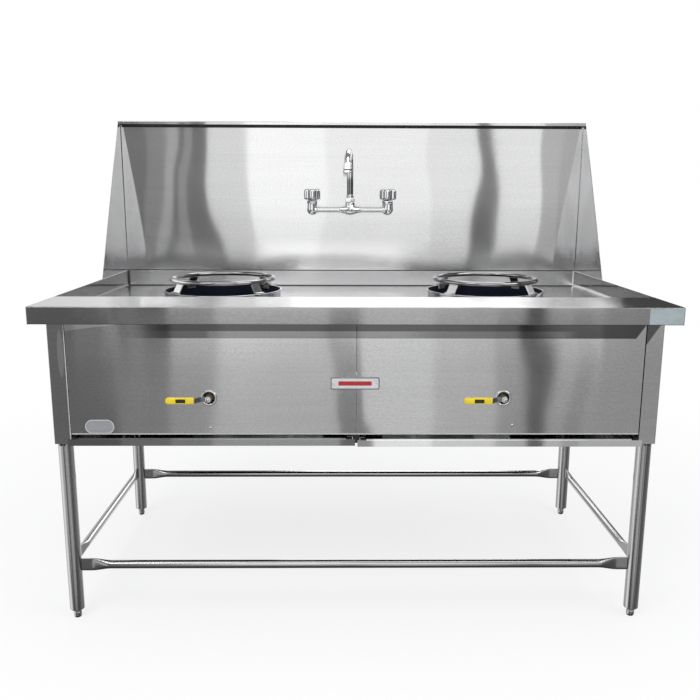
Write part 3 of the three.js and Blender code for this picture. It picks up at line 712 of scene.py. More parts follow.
# Painted shade: a dark copy for the recess's end walls and the left end's fold, the back splash's rear faces
# and the wok rings' rear straps.
STEEL_END = brushed("stainless_end_wall", tone=0.28, roughness=0.16)
STEEL_FASCIA = brushed("stainless_fascia", tone=0.43, roughness=0.11, wave=4.0)
STEEL_FRONT = brushed("stainless_front", roughness=0.12, shade=under_fascia)
STEEL_SPLASH = brushed("stainless_splash", shade=bright_foot)
STEEL_CORNER = brushed("stainless_corner", shade=corner_reflection_and_shadow)
# Painted light and shade: the left tray is a darker copy and the right a lighter one; behind their lips both
# are painted dark.
STEEL_TRAYS = {name: brushed(f"stainless_tray_{name}", tone=tone, shade=in_the_dark)
               for name, tone in (("left", 0.42), ("right", 1.0))}
# Painted shade: a dull, dark copy for the runners and rails inside the cabinet.
STEEL_PLAIN = brushed("stainless_inner", tone=0.30, roughness=0.45, anisotropy=0.4)
TUBE = tube_steel("stainless_tube", roughness=0.13)
RAILS = {"x": tube_steel("stainless_rail_x", run=(1, 0, 0)),
         "y": tube_steel("stainless_rail_y", run=(0, 1, 0))}
BRIGHT = tube_steel("stainless_bright", tone=0.72, roughness=0.12)
BAR = tube_steel("stainless_ring_bar", tone=0.30, roughness=0.10)
STRAP = tube_steel("stainless_strap", tone=0.95, roughness=0.38)
LEVER = tube_steel("lever_steel", tone=0.26, roughness=0.32)
CHROME = polished("chrome_plate")
# Painted shade: dark chrome for the hollows between a handle's lobes.
CHROME_DARK = polished("chrome_painted_dark", (0.20, 0.20, 0.21), 0.12)
# Painted shade: the valve bodies' brass is painted far darker, as they sit in shade behind the panels.
BRASS = polished("brass_painted_dark", (0.13, 0.10, 0.055), 0.35)
IRON = blackened("cast_iron", (0.02, 0.02, 0.022), 0.6, 0.5)
ENAMEL = blackened("collar_black", (0.002, 0.003, 0.009), 0.55, 0.0, 0.12)
# Black for the gas pipes and corner brackets, also used as painted shade: the slot's plate and stops, and
# bands on the spout's outlet.
PIPE_AND_SHADE = blackened("black_pipe", (0.03, 0.03, 0.032), 0.4, 0.6)
# A dark joint colour for the splash's foot, also used as painted shade on folds in the worktop's corners,
# under the splash's lip and on the tray steps.
SEALANT_AND_SHADE = blackened("dark_seam_and_shade", (0.03, 0.03, 0.03), 0.5, 0.3)
YELLOW = moulded("yellow_vinyl", (0.83, 0.62, 0.015))
PATCH = moulded("black_patch", (0.012, 0.012, 0.013), 0.3)
RED = moulded("red_enamel", (0.42, 0.012, 0.014), 0.3)
FILM = moulded("pale_film", (0.36, 0.42, 0.43), 0.2)
PLATE = moulded("plate_silver", (0.62, 0.62, 0.63), 0.3)
OVAL = moulded("plate_grey", (0.30, 0.30, 0.31), 0.3)
# Painted highlight: a pale diffuse grey for bends and edges that catch the light.
EDGE_HIGHLIGHT = moulded("painted_edge_highlight", (0.50, 0.50, 0.50), 0.4)


def dress(node, material, edge=0.5 * MM, angle=30):
    """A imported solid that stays: its finish, and its edges taken off."""
    obj = painted(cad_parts[node], material)
    modify(obj, "WELD", merge_threshold=1e-5)
    modify(obj, "DECIMATE", decimate_type="DISSOLVE", angle_limit=math.radians(1))
    modify(obj, "BEVEL", width=edge, segments=2, limit_method="ANGLE", angle_limit=math.radians(angle))


# ---- Worktop and splashes


def worktop():
    """The folded pan with its holes, its end walls, and the rounded folds in its corners."""
    fall = FLOOR - GUTTER_FALL
    sloping = [(depth(GUTTER_START), FLOOR), (depth(SPLASH_DEPTH), fall)]
    line = [(depth(HEM), RIM - FASCIA), (depth(2 * MM), RIM - FASCIA), (FRONT, RIM), (depth(SHELF), RIM),
            (depth(SHELF), FLOOR), *sloping, (depth(SPLASH_DEPTH), RIM), (BACK, RIM), (BACK, RIM - FASCIA)]
    inner = HALF_WIDTH - SHEET / 2
    width = (0, -inner, inner)
    shelf_depth = (1, depth(0.004), depth(SHELF - 0.004))
    recess_depth = (1, depth(SHELF + 0.01), depth(SPLASH_DEPTH - 0.01))
    shelf = ripple(0.5 * MM, 0.30, 0.12, 3.1, 0.05, [width, shelf_depth])
    recess = ripple(0.9 * MM, 0.35, 0.30, 7.7, 0.08, [width, recess_depth])
    fascia = ripple(0.35 * MM, 0.33, 0.2, 5.2, 0.04, [width])

    def wave(point, normal):
        if abs(normal.z) > 0.9 and point.z > RIM - 0.01:
            return shelf(point) if point.y < depth(SHELF) else 0
        if abs(normal.z) > 0.9 and point.y > depth(SHELF):
            return recess(point)
        return fascia(point) if point.y < depth(0.003) else 0

    pan = folded_sheet(line[::-1], "x", stations(-inner, inner, 0.02), wave=wave)
    holes = [(f"burner_collar_{name}", COLLAR_RADIUS + GAP, 96, FLOOR - 0.02, FLOOR + 0.02) for name in SIDES]
    holes += [("drain_outlet", DRAIN_HOLE, 48, FLOOR - 0.03, FLOOR + 0.02)]
    holes += [(f"supply_pipe_{name}", PIPE_HOLE, 32, RIM - 0.01, RIM + 0.01) for name in SIDES]
    carve(pan, *[bar(circle(*boxed(node)[2].xy, radius, count), "z", low, high)
                 for node, radius, count, low, high in holes])
    # The pan, its shelf and its fascia take steel copies of different tones, as painted light and shade.
    painted(pan, STEEL_PAN)
    repainted(pan, STEEL_SHELF, lambda face: face.center.y < depth(SHELF) and face.center.z > RIM - 4 * MM)
    repainted(pan, STEEL_FASCIA, lambda face: face.center.y < depth(2.6 * MM))

    reach, rear = HALF_WIDTH - SHEET, depth(SPLASH_DEPTH + SHEET)
    step = depth(SHELF - SHEET)
    outline = [(FRONT, RIM - FASCIA), (step, RIM - FASCIA), (step, FLOOR - SHEET),
               (depth(GUTTER_START), FLOOR - SHEET), (rear, fall - SHEET), (rear, RIM - FASCIA),
               (BACK, RIM - FASCIA), (BACK, RIM), (FRONT, RIM)]
    # The end walls take the dark end-wall copy, as painted shade. The fold at the splash's foot and the left
    # end's folds are painted dark, as painted shade; the right end's folds are painted bright, as painted
    # highlights.
    walls = [bar(outline, "x", *span(side, HALF_WIDTH, reach), 0.6 * MM) for side in SIDES.values()]
    up, forward = Vector((0, 0, 1)), Vector((0, -1, 0))
    foot = [Vector((side * reach, depth(SPLASH_DEPTH), fall)) for side in SIDES.values()]
    folds = [painted(fillet(foot, up, forward, 4 * MM), SEALANT_AND_SHADE)]
    for side, end_finish, corner_finish in ((-1, STEEL_END, SEALANT_AND_SHADE), (1, BRIGHT, BRIGHT)):
        inward = Vector((-side, 0, 0))
        end = [Vector((side * reach, *point)) for point in [(depth(SHELF) + MM, FLOOR), *sloping]]
        corner = [Vector((side * reach, depth(SPLASH_DEPTH), z)) for z in (fall, RIM)]
        folds.append(painted(fillet(end, inward, up), end_finish))
        folds.append(painted(fillet(corner, inward, forward, 5 * MM), corner_finish))
    settle("worktop_pan", pan, *[painted(wall, STEEL_END) for wall in walls], *folds, node="worktop")


def back_splash():
    """A sheet with a forward lip along its top, closed at both ends, sealed along its foot, and painted dark
    under its lip.
    """
    face, low, rear = depth(SPLASH_DEPTH), RIM + GAP, BACK - SHEET - GAP
    lip = face - LIP_DEPTH + SHEET
    line = [(rear, low), (face, low), (face, TOP - SHEET), (lip, TOP - SHEET), (lip, TOP - LIP_DROP)]
    ripples = ripple(1.1 * MM, 0.30, 0.42, 11.3, 0.07, [(0, -HALF_WIDTH, HALF_WIDTH), (2, low, TOP)])

    def wave(point, normal):
        return ripples(point) if abs(normal.y) > 0.9 and point.y > face - 0.002 else 0

    sheet = folded_sheet(line[::-1], "x", stations(-HALF_WIDTH, HALF_WIDTH, 0.016), spacing=0.016, wave=wave)
    inner = HALF_WIDTH - SHEET - GAP
    cuts = []
    for side in SIDES.values():
        a, b = span(side, inner, HALF_WIDTH + 0.01)
        cuts.append(box((a, lip + GAP, low - 0.01), (b, BACK, TOP - SHEET - GAP / 2)))
    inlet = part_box("faucet_body")[0].z + INLET_RISE
    for name in SIDES:
        pipe = boxed(f"supply_pipe_{name}")[2]
        cuts.append(bar(circle(pipe.x, inlet, PIPE_HOLE), "y", face - 0.01, face + 0.01))
        cuts.append(bar(circle(pipe.x, pipe.y, PIPE_HOLE), "z", low - 0.01, low + 0.01))
    carve(sheet, *cuts)
    parts = [painted(sheet, STEEL_SPLASH)]
    for side in SIDES.values():
        a, b = span(side, inner, inner - SHEET)
        parts.append(painted(box((a, face + SHEET / 2, low), (b, rear, TOP - SHEET), 0.4 * MM), STEEL))
    end = inner - SHEET - 2 * GAP
    bead = sweep([(x, face - 0.6 * MM, low + 0.9 * MM) for x in (-end, end)], 1.5 * MM, 12)
    # The strip under the lip is painted dark, as painted shade under the lip.
    lip_shade_top = TOP - LIP_DROP + 2 * MM
    painted_line = box((-end, face - 0.7 * MM, lip_shade_top - 10 * MM), (end, face + 0.2 * MM, lip_shade_top), 0.2 * MM)
    splash = joined(*parts, painted(bead, SEALANT_AND_SHADE), painted(painted_line, SEALANT_AND_SHADE))
    # The rear faces take the dark end-wall copy, as painted shade.
    repainted(splash, STEEL_END, lambda polygon: polygon.normal.y > 0.7)
    settle("back_splash_sheet", splash, node="back_splash")


def side_splash(name, side):
    """A sheet with a sloping front edge, and an ear behind the lip of the back splash."""
    low, high, _ = boxed(f"side_splash_{name}")
    lip_front = SPLASH_DEPTH - LIP_DEPTH
    slope_top = TOP - LIP_DROP - GAP
    within = [(1, depth(SIDE_FOOT), high.y), (2, low.z, high.z)]
    ripples = ripple(0.6 * MM, 1.0, 0.28, 2.3 * side, 0.05, within)
    outward = Vector((side, 0, 0))
    rows = []
    for share in np.linspace(0, 1, 27):
        z = low.z + (slope_top - low.z) * share
        front = depth(SIDE_FOOT + (lip_front - SIDE_FOOT) * share)
        line = [Vector((side * HALF_WIDTH, y, z)) for y in np.linspace(front, high.y, 15)]
        inner = [point - outward * abs(ripples(point)) for point in line]
        rows.append(inner + [point + outward * SHEET for point in reversed(inner)])
    a, b = span(side, HALF_WIDTH, HALF_WIDTH - SHEET)
    ear = box((a, depth(lip_front) + SHEET + GAP, slope_top - 0.1 * MM), (b, high.y, high.z), 0.3 * MM)
    settle(f"side_splash_sheet_{name}", painted(slab(rows), STEEL_SIDE), painted(ear, STEEL_SIDE),
           node=f"side_splash_{name}")


# ---- Cabinet


def front_panel(name, side):
    """A sheet with returns folded back at both ends and along its foot."""
    low, high, middle = boxed(f"front_panel_{name}")
    foot_line = low.z + 4 * MM
    radius, joint = 1.8 * MM, 0.7 * MM
    first, last = (radius, joint) if side < 0 else (joint, radius)
    centre = (middle.x, low.y)
    columns = rounded([(low.x, high.y), (low.x, low.y), centre], first, 4, 0.016)[:-1]
    columns += rounded([centre, (high.x, low.y), (high.x, high.y)], last, 4, 0.016)
    rows = rounded([(high.y, low.z), (low.y, low.z), (low.y, foot_line), (low.y, high.z)], radius, 4, 0.016)
    within = [(0, low.x, high.x), (2, low.z, high.z + 0.05)]
    ripples = ripple(0.9 * MM, 0.26, 0.40, 21.0 + 4 * side, 0.06, within)
    grid = []
    for row in rows:
        grid.append([Vector((column.x, max(column.y, row.x), row.y)) for column in columns])
        for point in grid[-1]:
            if point.y - low.y < 0.3 * MM:
                point.y += ripples(point)
    sheet = skin(grid, wrap=False)
    facing = sum(polygon.normal.y * polygon.area for polygon in sheet.data.polygons)
    modify(sheet, "SOLIDIFY", thickness=THIN, offset=-1 if facing < 0 else 1, use_even_offset=True)
    bake(sheet)
    bezel = boxed(f"valve_bezel_{name}")[2]
    carve(sheet, bar(circle(bezel.x, bezel.z, 15 * MM, 48), "y", low.y - 0.01, low.y + 0.01))
    painted(sheet, STEEL_FRONT)
    # The bend along the foot is painted pale grey, as a painted highlight.
    repainted(sheet, EDGE_HIGHLIGHT, lambda face: face.center.z < foot_line and face.center.y < low.y + 2 * MM)
    settle(f"front_sheet_{name}", sheet, node=f"front_panel_{name}")


def side_panel(name, side):
    """A sheet with a narrow return on the front and another at the back."""
    low, high, _ = boxed(f"side_panel_{name}")
    inner, outer = (low.x, high.x) if side > 0 else (high.x, low.x)
    painted_line = inner + side * 2.2 * MM
    line = [(inner, low.y), (painted_line, low.y), (outer, low.y), (outer, high.y), (outer - side * 28 * MM, high.y)]
    ripples = ripple(0.8 * MM, 1.0, 0.3, 31.0 + side, 0.05, [(1, low.y, high.y), (2, low.z, high.z)])

    def wave(point, normal):
        if abs(normal.x) > 0.9:
            return abs(ripples(point))
        return 0.35 * ripples(point) if point.y < low.y + 0.002 else 0

    sheet = folded_sheet(line[::side], "z", stations(low.z, high.z, 0.02), THIN, 1.6 * MM, wave=wave)
    under = FLOOR - SHEET - GUTTER_FALL - GAP
    carve(sheet, box((-1, depth(SHELF - SHEET - MM), under), (1, BACK, RIM)))
    painted(sheet, STEEL_CORNER)
    # On the left panel the thin strip by the inner edge is painted pale grey, as a painted highlight.
    if side < 0:
        repainted(sheet, EDGE_HIGHLIGHT, lambda face: face.center.x > painted_line and face.center.y < low.y + 3 * MM)
    settle(f"side_sheet_{name}", sheet, node=f"side_panel_{name}")


# ---- Legs


def leg(corner):
    """A tube with a bored plug at its foot, and the bullet foot that screws into it."""
    node, foot_node = f"leg_{corner}", f"foot_{corner}"
    low, high, centre = boxed(node)
    bore, floor_height, wall = 6.6, 20, 1.5
    radius, height = (high.y - low.y) / 2 / MM, (high.z - low.z) / MM
    profile = [(bore, 0), (radius, 0), (radius, height), (radius - wall, height),
               (radius - wall, floor_height), (bore, floor_height)]
    tube = turned(profile, 56, low.z, 1.2, closed=True)
    settle(f"leg_tube_{corner}", painted(moved(tube, *centre.xy), TUBE), node=node)
    stem, top, stem_top = 6, (low.z - GAP) / MM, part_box(foot_node)[1].z / MM
    bullet = [(0, 0), (7.5, 0), (9.6, 2), (10.4, 6), (10.4, 15), (9.2, 16.5), (9.2, 18.5), (10.2, 20),
              (8.8, top), (stem, top), (stem, stem_top), (0, stem_top)]
    foot = moved(turned(bullet, 40, soft=0.8), *centre.xy)
    settle(f"bullet_foot_{corner}", painted(foot, TUBE), body=foot_node, node=foot_node)


def cross_rail(name):
    """A round tube whose ends are pressed flat."""
    low, high, centre = boxed(f"cross_rail_{name}")
    size = (high - low) / 2
    axis = "x" if size.x > size.y else "y"
    half, radius = max(size.x, size.y), min(size.x, size.y)
    flat_across, flat_length, taper = 2.2 * MM, 23 * MM, 58 * MM
    shoulder = half - flat_length
    reach = [half, half - flat_length / 2, *(shoulder - taper * share for share in np.linspace(0, 1, 15))]
    rings = []
    for s in reach + [-s for s in reversed(reach)]:
        inward = smooth((shoulder - abs(s)) / taper)
        across = flat_across + (radius - flat_across) * inward
        up = size.z + (radius - size.z) * inward
        outline = squarish(across, up, 2 / (2 + 3 * (1 - inward) ** 2), 40)
        rings.append([centre + AXES[axis](*point, s) for point in outline])
    settle(f"cross_rail_tube_{name}", painted(lofted(rings), RAILS[axis]), node=f"cross_rail_{name}")


# ---- Burners


def burner_collar(name):
    """A black-lined ring wall with a thicker rim, and the bar that carries the burner head."""
    low, high, centre = boxed(f"burner_collar_{name}")
    bore = COLLAR_RADIUS - COLLAR_WALL
    inner, outer, height = bore / MM, COLLAR_RADIUS / MM, (high.z - low.z) / MM
    collar = turned([(inner, 0), (outer, 0), (outer, height - 6), (outer + 2.5, height - 5),
                     (outer + 2.5, height), (inner, height)], 128, low.z, 1.0, closed=True)
    painted(moved(collar, *centre.xy), STEEL)
    repainted(collar, ENAMEL, lambda face: face.center.z < high.z - 1.2 * MM
              and (face.center - centre).to_2d().length < bore + 0.5 * MM)
    x, y = Vector((bore + MM, 0, 0)), Vector((0, 32 * MM, 0))
    foot = Vector((centre.x, centre.y, low.z))
    seat = box(foot - x - y + Vector((0, 0, MM)), foot + x + y + Vector((0, 0, 6 * MM)), 0.8 * MM)
    carve(seat, bar(circle(*centre.xy, 24 * MM), "z", low.z - 0.01, low.z + 0.02))
    settle(f"burner_ring_wall_{name}", collar, painted(seat, ENAMEL), node=f"burner_collar_{name}",
           mirrored=False)


def wok_ring(name):
    """A round bar on four bent flat straps, each with a lug on the collar's rim and a bead of weld."""
    node = f"wok_ring_{name}"
    centre = boxed(node)[2]
    path = [(RING_RADIUS * c, RING_RADIUS * s, RING_HEIGHT) for c, s in around(160)]
    # The left ring's bar carries a painted highlight on its left end.
    wear_and_highlight = tube_steel("stainless_ring_highlight", 0.30, 0.10, shade=lit_side(centre)) if name == "left" else BAR
    parts = [painted(sweep([*path, path[0]], RING_BAR, 20, capped=False), wear_and_highlight)]
    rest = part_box(f"burner_collar_{name}")[1].z + GAP
    inner, half = COLLAR_RADIUS - COLLAR_WALL, STRAP_WIDTH / 2
    line = [(inner - 3 * MM, rest - 12 * MM), (inner - 3 * MM, rest + 2 * MM),
            (RING_RADIUS + 2 * MM, RING_HEIGHT - 3 * MM)]
    weld_end = half - 3 * MM
    weld = [(RING_RADIUS + 3.6 * MM, y, RING_HEIGHT - drop) for y, drop in
            ((-weld_end, 4.6 * MM), (0, 4.9 * MM), (weld_end, 4.6 * MM))]
    for angle in (45, 135, 225, 315):
        strap = folded_sheet(line, "y", stations(-half, half, 0.014), STRAP_THICKNESS, 6 * MM)
        rounded_edges(strap, 0.7 * MM, 2, 40)
        lug = box((inner - 5 * MM, -half, rest), (COLLAR_RADIUS + 4 * MM, half, rest + STRAP_THICKNESS),
                  0.9 * MM)
        bead = sweep(weld, 1.9 * MM, 10)
        # The rear straps take the dark end-wall copy, as painted shade; the left ring's front strap at 315
        # degrees takes the darker tube copy, also as painted shade.
        front_finish = TUBE if (name, angle) == ("left", 315) else STRAP
        for part, finish in ((strap, front_finish), (lug, BRIGHT), (bead, BRIGHT)):
            moved(part, turn=math.radians(angle + STRAP_TURN[name]))
            parts.append(painted(part, STEEL_END if angle < 180 else finish))
    stand = moved(joined(*parts), *centre.xy)
    settle(f"wok_stand_{name}", stand, body=node, node=node, mirrored=False)


def burner_head(name):
    """A casting with a nozzle in the middle and two rings of nozzles round it."""
    low, high, centre = boxed(f"burner_head_{name}")
    deck = (high.z - low.z) / MM - 6
    bowl = [(0, 0), (40, 0), (40, 8), (70, 18), (92, 30), (92, 37), (80, deck), (0, deck)]
    nozzle = [(0, -2), (7, -2), (7, 1), (4.8, 5.8), (2.6, 5.8), (2.6, 1), (0, 1)]
    parts = [turned(bowl, 96, low.z, 2.5, 4)]
    for count, radius in ((1, 0), (4, 34 * MM), (8, 68 * MM)):
        for x, y in circle(0, 0, radius, count):
            parts.append(moved(turned(nozzle, 20, high.z - 6 * MM, 0.4, 2), x, y))
    head = moved(joined(*[painted(part, IRON) for part in parts]), centre.x, centre.y)
    settle(f"burner_casting_{name}", head, slot="cast_iron", node=f"burner_head_{name}")


# ---- Gas levers


def valve_lever(name):
    """A stepped strap with its stem and nut, its grip, and the ring round the stem."""
    node, bezel_node = f"valve_lever_{name}", f"valve_bezel_{name}"
    _, high, middle = boxed(node)
    x, z, half_width = high.x - 11 * MM, middle.z, 6.5 * MM
    hub, grip = depth(22 * MM), depth(8 * MM)
    line = [(x - 100 * MM, grip), (x - 31 * MM, grip), (x - 18 * MM, hub), (x + 8 * MM, hub)]
    strap = folded_sheet(line, "z", stations(z - half_width, z + half_width, 0.007), 3 * MM, 4 * MM, 0.01)
    rounded_edges(strap, 0.6 * MM, 2, 40)
    disc = bar(circle(x, z, 9 * MM, 40), "y", hub + MM, hub + 4 * MM, 0.6 * MM)
    stem = bar(circle(x, z, 4.4 * MM, 24), "y", hub - 8 * MM, depth(44.7 * MM))
    nut = bar(circle(x, z, 7.6 * MM, 6, 0.35), "y", hub - 5 * MM, hub + MM, 0.7 * MM)
    tip = to_front(turned([(0, 0), (4.4, 0), (4.4, 1.6), (0, 2.4)], 24, soft=0.7), x, hub - 8 * MM, z)
    # The strap is a dark copy of the steel, the hub disc the same dark copy as painted shade in the ring's
    # recess, and the nut the near-white strap copy as a painted highlight.
    parts = ((strap, LEVER), (disc, LEVER), (stem, CHROME), (nut, STRAP), (tip, CHROME))
    settle(f"lever_strap_{name}", *[painted(*part) for part in parts], body=node, node=node, mirrored=False)
    vinyl_grip(name, node)
    _, high, centre = boxed(bezel_node)
    bezel = turned([(15.2, 0), (20.3, 0), (20.3, 4), (15.2, 4)], 72, soft=2.3, steps=6, closed=True)
    settle(f"valve_ring_{name}", painted(to_front(bezel, centre.x, high.y, centre.z), CHROME), slot="chrome",
           node=bezel_node)


def vinyl_grip(name, body):
    """A dipped sleeve with a thin lip at its open end, and a blank patch on its front."""
    low, high, middle = boxed(f"lever_grip_{name}")
    length, dome = high.x - low.x, 3.2 * MM
    rings = []
    for t in np.linspace(0, 1, 30):
        end = min(t, 1 - t) * length
        lip = 0.35 * MM * smooth(1 - abs(end - 3 * MM) / (2.5 * MM)) if t > 0.5 else 0
        shrink = 1 - math.sqrt(max(0.0, 1 - (min(end, dome) / dome) ** 2)) * (0.34 if t < 0.5 else 0.10)
        outline = squarish((4.9 * MM + lip) * shrink, (8.55 * MM + lip) * shrink, 0.72, 32)
        rings.append([(low.x + t * length, middle.y + u, middle.z + v) for u, v in outline])
    start, end, half = low.x + 25.3 * MM, low.x + 49.6 * MM, 4.7 * MM
    patch = bar(rounded_box((start, middle.z - half), (end, middle.z + half), MM), "y",
                middle.y - 5.15 * MM, middle.y - 4.2 * MM, 0.2 * MM)
    settle(f"vinyl_grip_{name}", painted(lofted(rings), YELLOW), painted(patch, PATCH), body=body,
           slot="yellow_vinyl", node=f"lever_grip_{name}", mirrored=False)


# ---- Faucet


def faucet_axis():
    """X and Y of the faucet's column, and the X of its two inlets."""
    inlets = [boxed(f"supply_pipe_{name}")[2].x for name in SIDES]
    return sum(inlets) / 2, boxed("faucet_handle_left")[2].y, inlets


def faucet_body():
    """A cast bar with its column and elbows, and its nuts, cap, wall roses and necks under the handles."""
    x, y, inlets = faucet_axis()
    low, high, _ = boxed("faucet_body")
    z, wall, top = low.z + INLET_RISE, high.y, high.z

    def bar_radius(t):
        s = abs(2 * t - 1)
        return (8.3 + 9.0 * (1 - smooth(s / 0.36)) ** 1.3 + 6.0 * smooth((s - 0.78) / 0.22) ** 1.5) * MM

    column = [(0, -17), (8, -16), (14, -11), (17.5, -4), (18.5, 2), (17.5, 9), (15.8, 16), (14.8, 26),
              (0, 26)]
    elbow = [(0, -16), (6, -15.2), (11, -12), (14.4, -6), (15.6, 0), (15.2, 8), (14.6, 16), (15, 24),
             (12, 27), (0, 27)]
    casting = [sweep([(along, y, z) for along in np.linspace(*inlets, 97)], bar_radius, 32),
               moved(turned(column, 48), x, y, z)]
    for inlet in inlets:
        casting.append(moved(turned(elbow, 48), inlet, y, z))
        casting.append(sweep([(inlet, y, z), (inlet, wall - 8 * MM, z)], 11 * MM, 32))
    cast = joined(*casting)
    modify(cast, "REMESH", mode="VOXEL", voxel_size=MM)
    modify(cast, "SMOOTH", factor=0.5, iterations=8)
    parts = [painted(bake(cast), CHROME)]
    nut = bar(circle(x, y, 18.2 * MM, 6, math.pi / 6), "z", top - 18 * MM, top - 4 * MM, 1.8 * MM)
    cap = turned([(0, -22), (14, -22), (14, -18), (12, -18), (12, 0), (0, 0)], 48, top, 0.8)
    # The nut takes the near-white strap copy, as a painted highlight.
    parts += [painted(nut, STRAP), painted(moved(cap, x, y), CHROME)]
    neck_top = (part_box("faucet_handle_left")[0].z - GAP - z) / MM
    neck = [(0, 26), (12.5, 26), (12.5, neck_top - 1.7), (11, neck_top), (0, neck_top)]
    rose = [(0, 0), (19, 0), (18.6, 2), (16, 5), (13, 8), (12.4, 14), (0, 14)]
    for inlet in inlets:
        bonnet = bar(circle(inlet, y, 16.5 * MM, 6, 0.3), "z", z + 20 * MM, z + 31 * MM, 1.6 * MM)
        union = bar(circle(inlet, z, 15 * MM, 6, 0.2), "y", wall - 24 * MM, wall - 12 * MM, 1.2 * MM)
        turned_parts = (to_front(turned(rose, 64, soft=1), inlet, wall, z),
                        moved(turned(neck, 40, z, 0.6), inlet, y))
        parts += [painted(part, CHROME) for part in (bonnet, union, *turned_parts)]
    settle("mixer_body", *parts, slot="chrome", node="faucet_body", sharp=40)


def faucet_spout():
    """A gooseneck tube with its collar and a banded outlet."""
    x, y, _ = faucet_axis()
    low, high, _ = boxed("faucet_spout")
    radius, bend = 10.4 * MM, 62 * MM
    top = high.z - radius - bend
    bottom = top - 9 * MM
    path = [(0, 0, z) for z in np.linspace(low.z, top, 9)]
    path += [(0, bend * (c - 1), top + bend * s) for c, s in around(80)[1:41]]
    tube = sweep([*path, (0, -2 * bend, bottom)], radius, 32)
    # The tube carries painted shade on its riser and a painted highlight on its outlet side.
    painted(tube, polished("chrome_spout", shade=spout_tones(y, top)))
    collar = turned([(0, 0), (12, 0), (12, 5), (10.9, 8), (0, 8)], 48, low.z, 0.8)
    outlet = [(0, 2), (9, 2), (9.5, 0), (14.2, 0), (14.2, 8), (13.4, 9), (13.4, 10.5), (14.2, 11.5),
              (13.2, 29), (10.6, 33), (0, 33)]
    # The outlet takes the near-white strap copy as a painted highlight, and is painted black along its foot
    # and in a band above it as painted shade.
    tip = painted(moved(turned(outlet, 56, bottom, 0.7), 0, -2 * bend), STRAP)
    repainted(tip, PIPE_AND_SHADE, lambda face: face.center.z < bottom + 3.5 * MM
              or bottom + 8 * MM < face.center.z < bottom + 11 * MM)
    whole = moved(joined(tube, painted(collar, CHROME), tip), x, y, turn=math.radians(SPOUT_TURN))
    settle("gooseneck", whole, body="spout", slot="chrome", node="faucet_spout")


def faucet_handle(name):
    """A four-lobed knob with its lobes cut away underneath, and an index button."""
    node = f"faucet_handle_{name}"
    low, high, centre = boxed(node)
    top = (high.z - low.z) / MM

    def profile(c, s):
        lobe = abs(c * c - s * s) ** 0.75
        reach, cut = 15.5 + 11.3 * lobe, 2.5 * lobe
        return [(0, 0), (10, 0), (12.5, 1), (reach - 3, 1.5 + cut * 0.6), (reach - 0.6, 3 + cut),
                (reach, 7 + cut), (reach, top - 7), (reach - 0.8, top - 3), (reach - 3.6, top - 0.6),
                (reach - 7, top - 0.2), (8.4, top - 1.2), (8, top - 2), (0, top - 2)]

    def between_lobes(face):
        spot = face.center.to_2d()
        return spot.length > 14 * MM and abs(spot.x ** 2 - spot.y ** 2) < 0.22 * spot.length_squared

    # The chrome between the lobes is painted dark, as painted shade in the hollows.
    knob = repainted(painted(turned(profile, 128, low.z), CHROME), CHROME_DARK, between_lobes)
    button = turned([(0, top - 3), (7.6, top - 3), (7.6, top - 0.6), (0, top - 0.1)], 40, low.z, 0.6)
    handle = joined(knob, painted(button, CHROME))
    moved(handle, *centre.xy, turn=math.radians(HANDLE_TURN[name]))
    settle(f"lobed_handle_{name}", handle, body=node, slot="chrome", node=node, sharp=45)


# ---- Small pieces


def nameplate():
    low, high, middle = boxed("nameplate")
    plate = bar(rounded_box(low.xz, high.xz, 4 * MM), "y", low.y + 0.25 * MM, high.y, 0.25 * MM)
    outlines = [rounded_box(low.xz, high.xz, radius, inset) for radius, inset in
                ((3.8 * MM, 0.6 * MM), (2.4 * MM, 2.6 * MM))]
    border = framed(*outlines, low.y, low.y + 0.5 * MM)
    half = Vector((42 * MM, 5.5 * MM))
    stripe = rounded_box(middle.xz - half, middle.xz + half, 2 * MM)
    stripe = bar(stripe, "y", low.y + 0.05 * MM, low.y + 0.5 * MM)
    rivets = []
    for x in (low.x + 6.5 * MM, high.x - 6.5 * MM):
        dome = turned([(0, 0), (1.9, 0), (1.7, 0.35), (1.0, 0.6), (0, 0.7)], 24)
        rivets.append(painted(to_front(dome, x, low.y + 0.6 * MM, middle.z), BRIGHT))
    settle("blank_nameplate", painted(plate, PLATE), painted(border, PATCH), painted(stripe, RED), *rivets,
           node="nameplate")


def rating_plate():
    low, high, _ = boxed("rating_plate")
    radius = (high.z - low.z) / 2 - 1e-5
    whole, outer, inner = [rounded_box(low.xz, high.xz, radius - inset, inset, 16)
                           for inset in (0, 0.6 * MM, 2.3 * MM)]
    plate = bar(whole, "y", low.y + 0.2 * MM, high.y, 0.2 * MM)
    border = framed(outer, inner, low.y, low.y + 0.4 * MM)
    settle("blank_oval_plate", painted(plate, OVAL), painted(border, PLATE), node="rating_plate")


def panel_screw(name, x, z):
    """A pan-head screw low on a front panel."""
    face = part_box(f"front_panel_{name}")[0].y
    head = turned([(0, 0), (3.4, 0), (3.2, 1.2), (1.6, 2.0), (0, 2.1)], 32, soft=0.5)
    settle(f"panel_screw_{name}", painted(to_front(head, x, face + 0.4 * MM, z), BRIGHT))


def block(side, x, y, z, material, edge=0.0):
    """A block between two distances from the middle and two behind the fascia, these in millimetres."""
    x, y = span(side, *(value * MM for value in x)), [depth(value * MM) for value in y]
    return painted(box(*zip(x, y, z), edge), material)


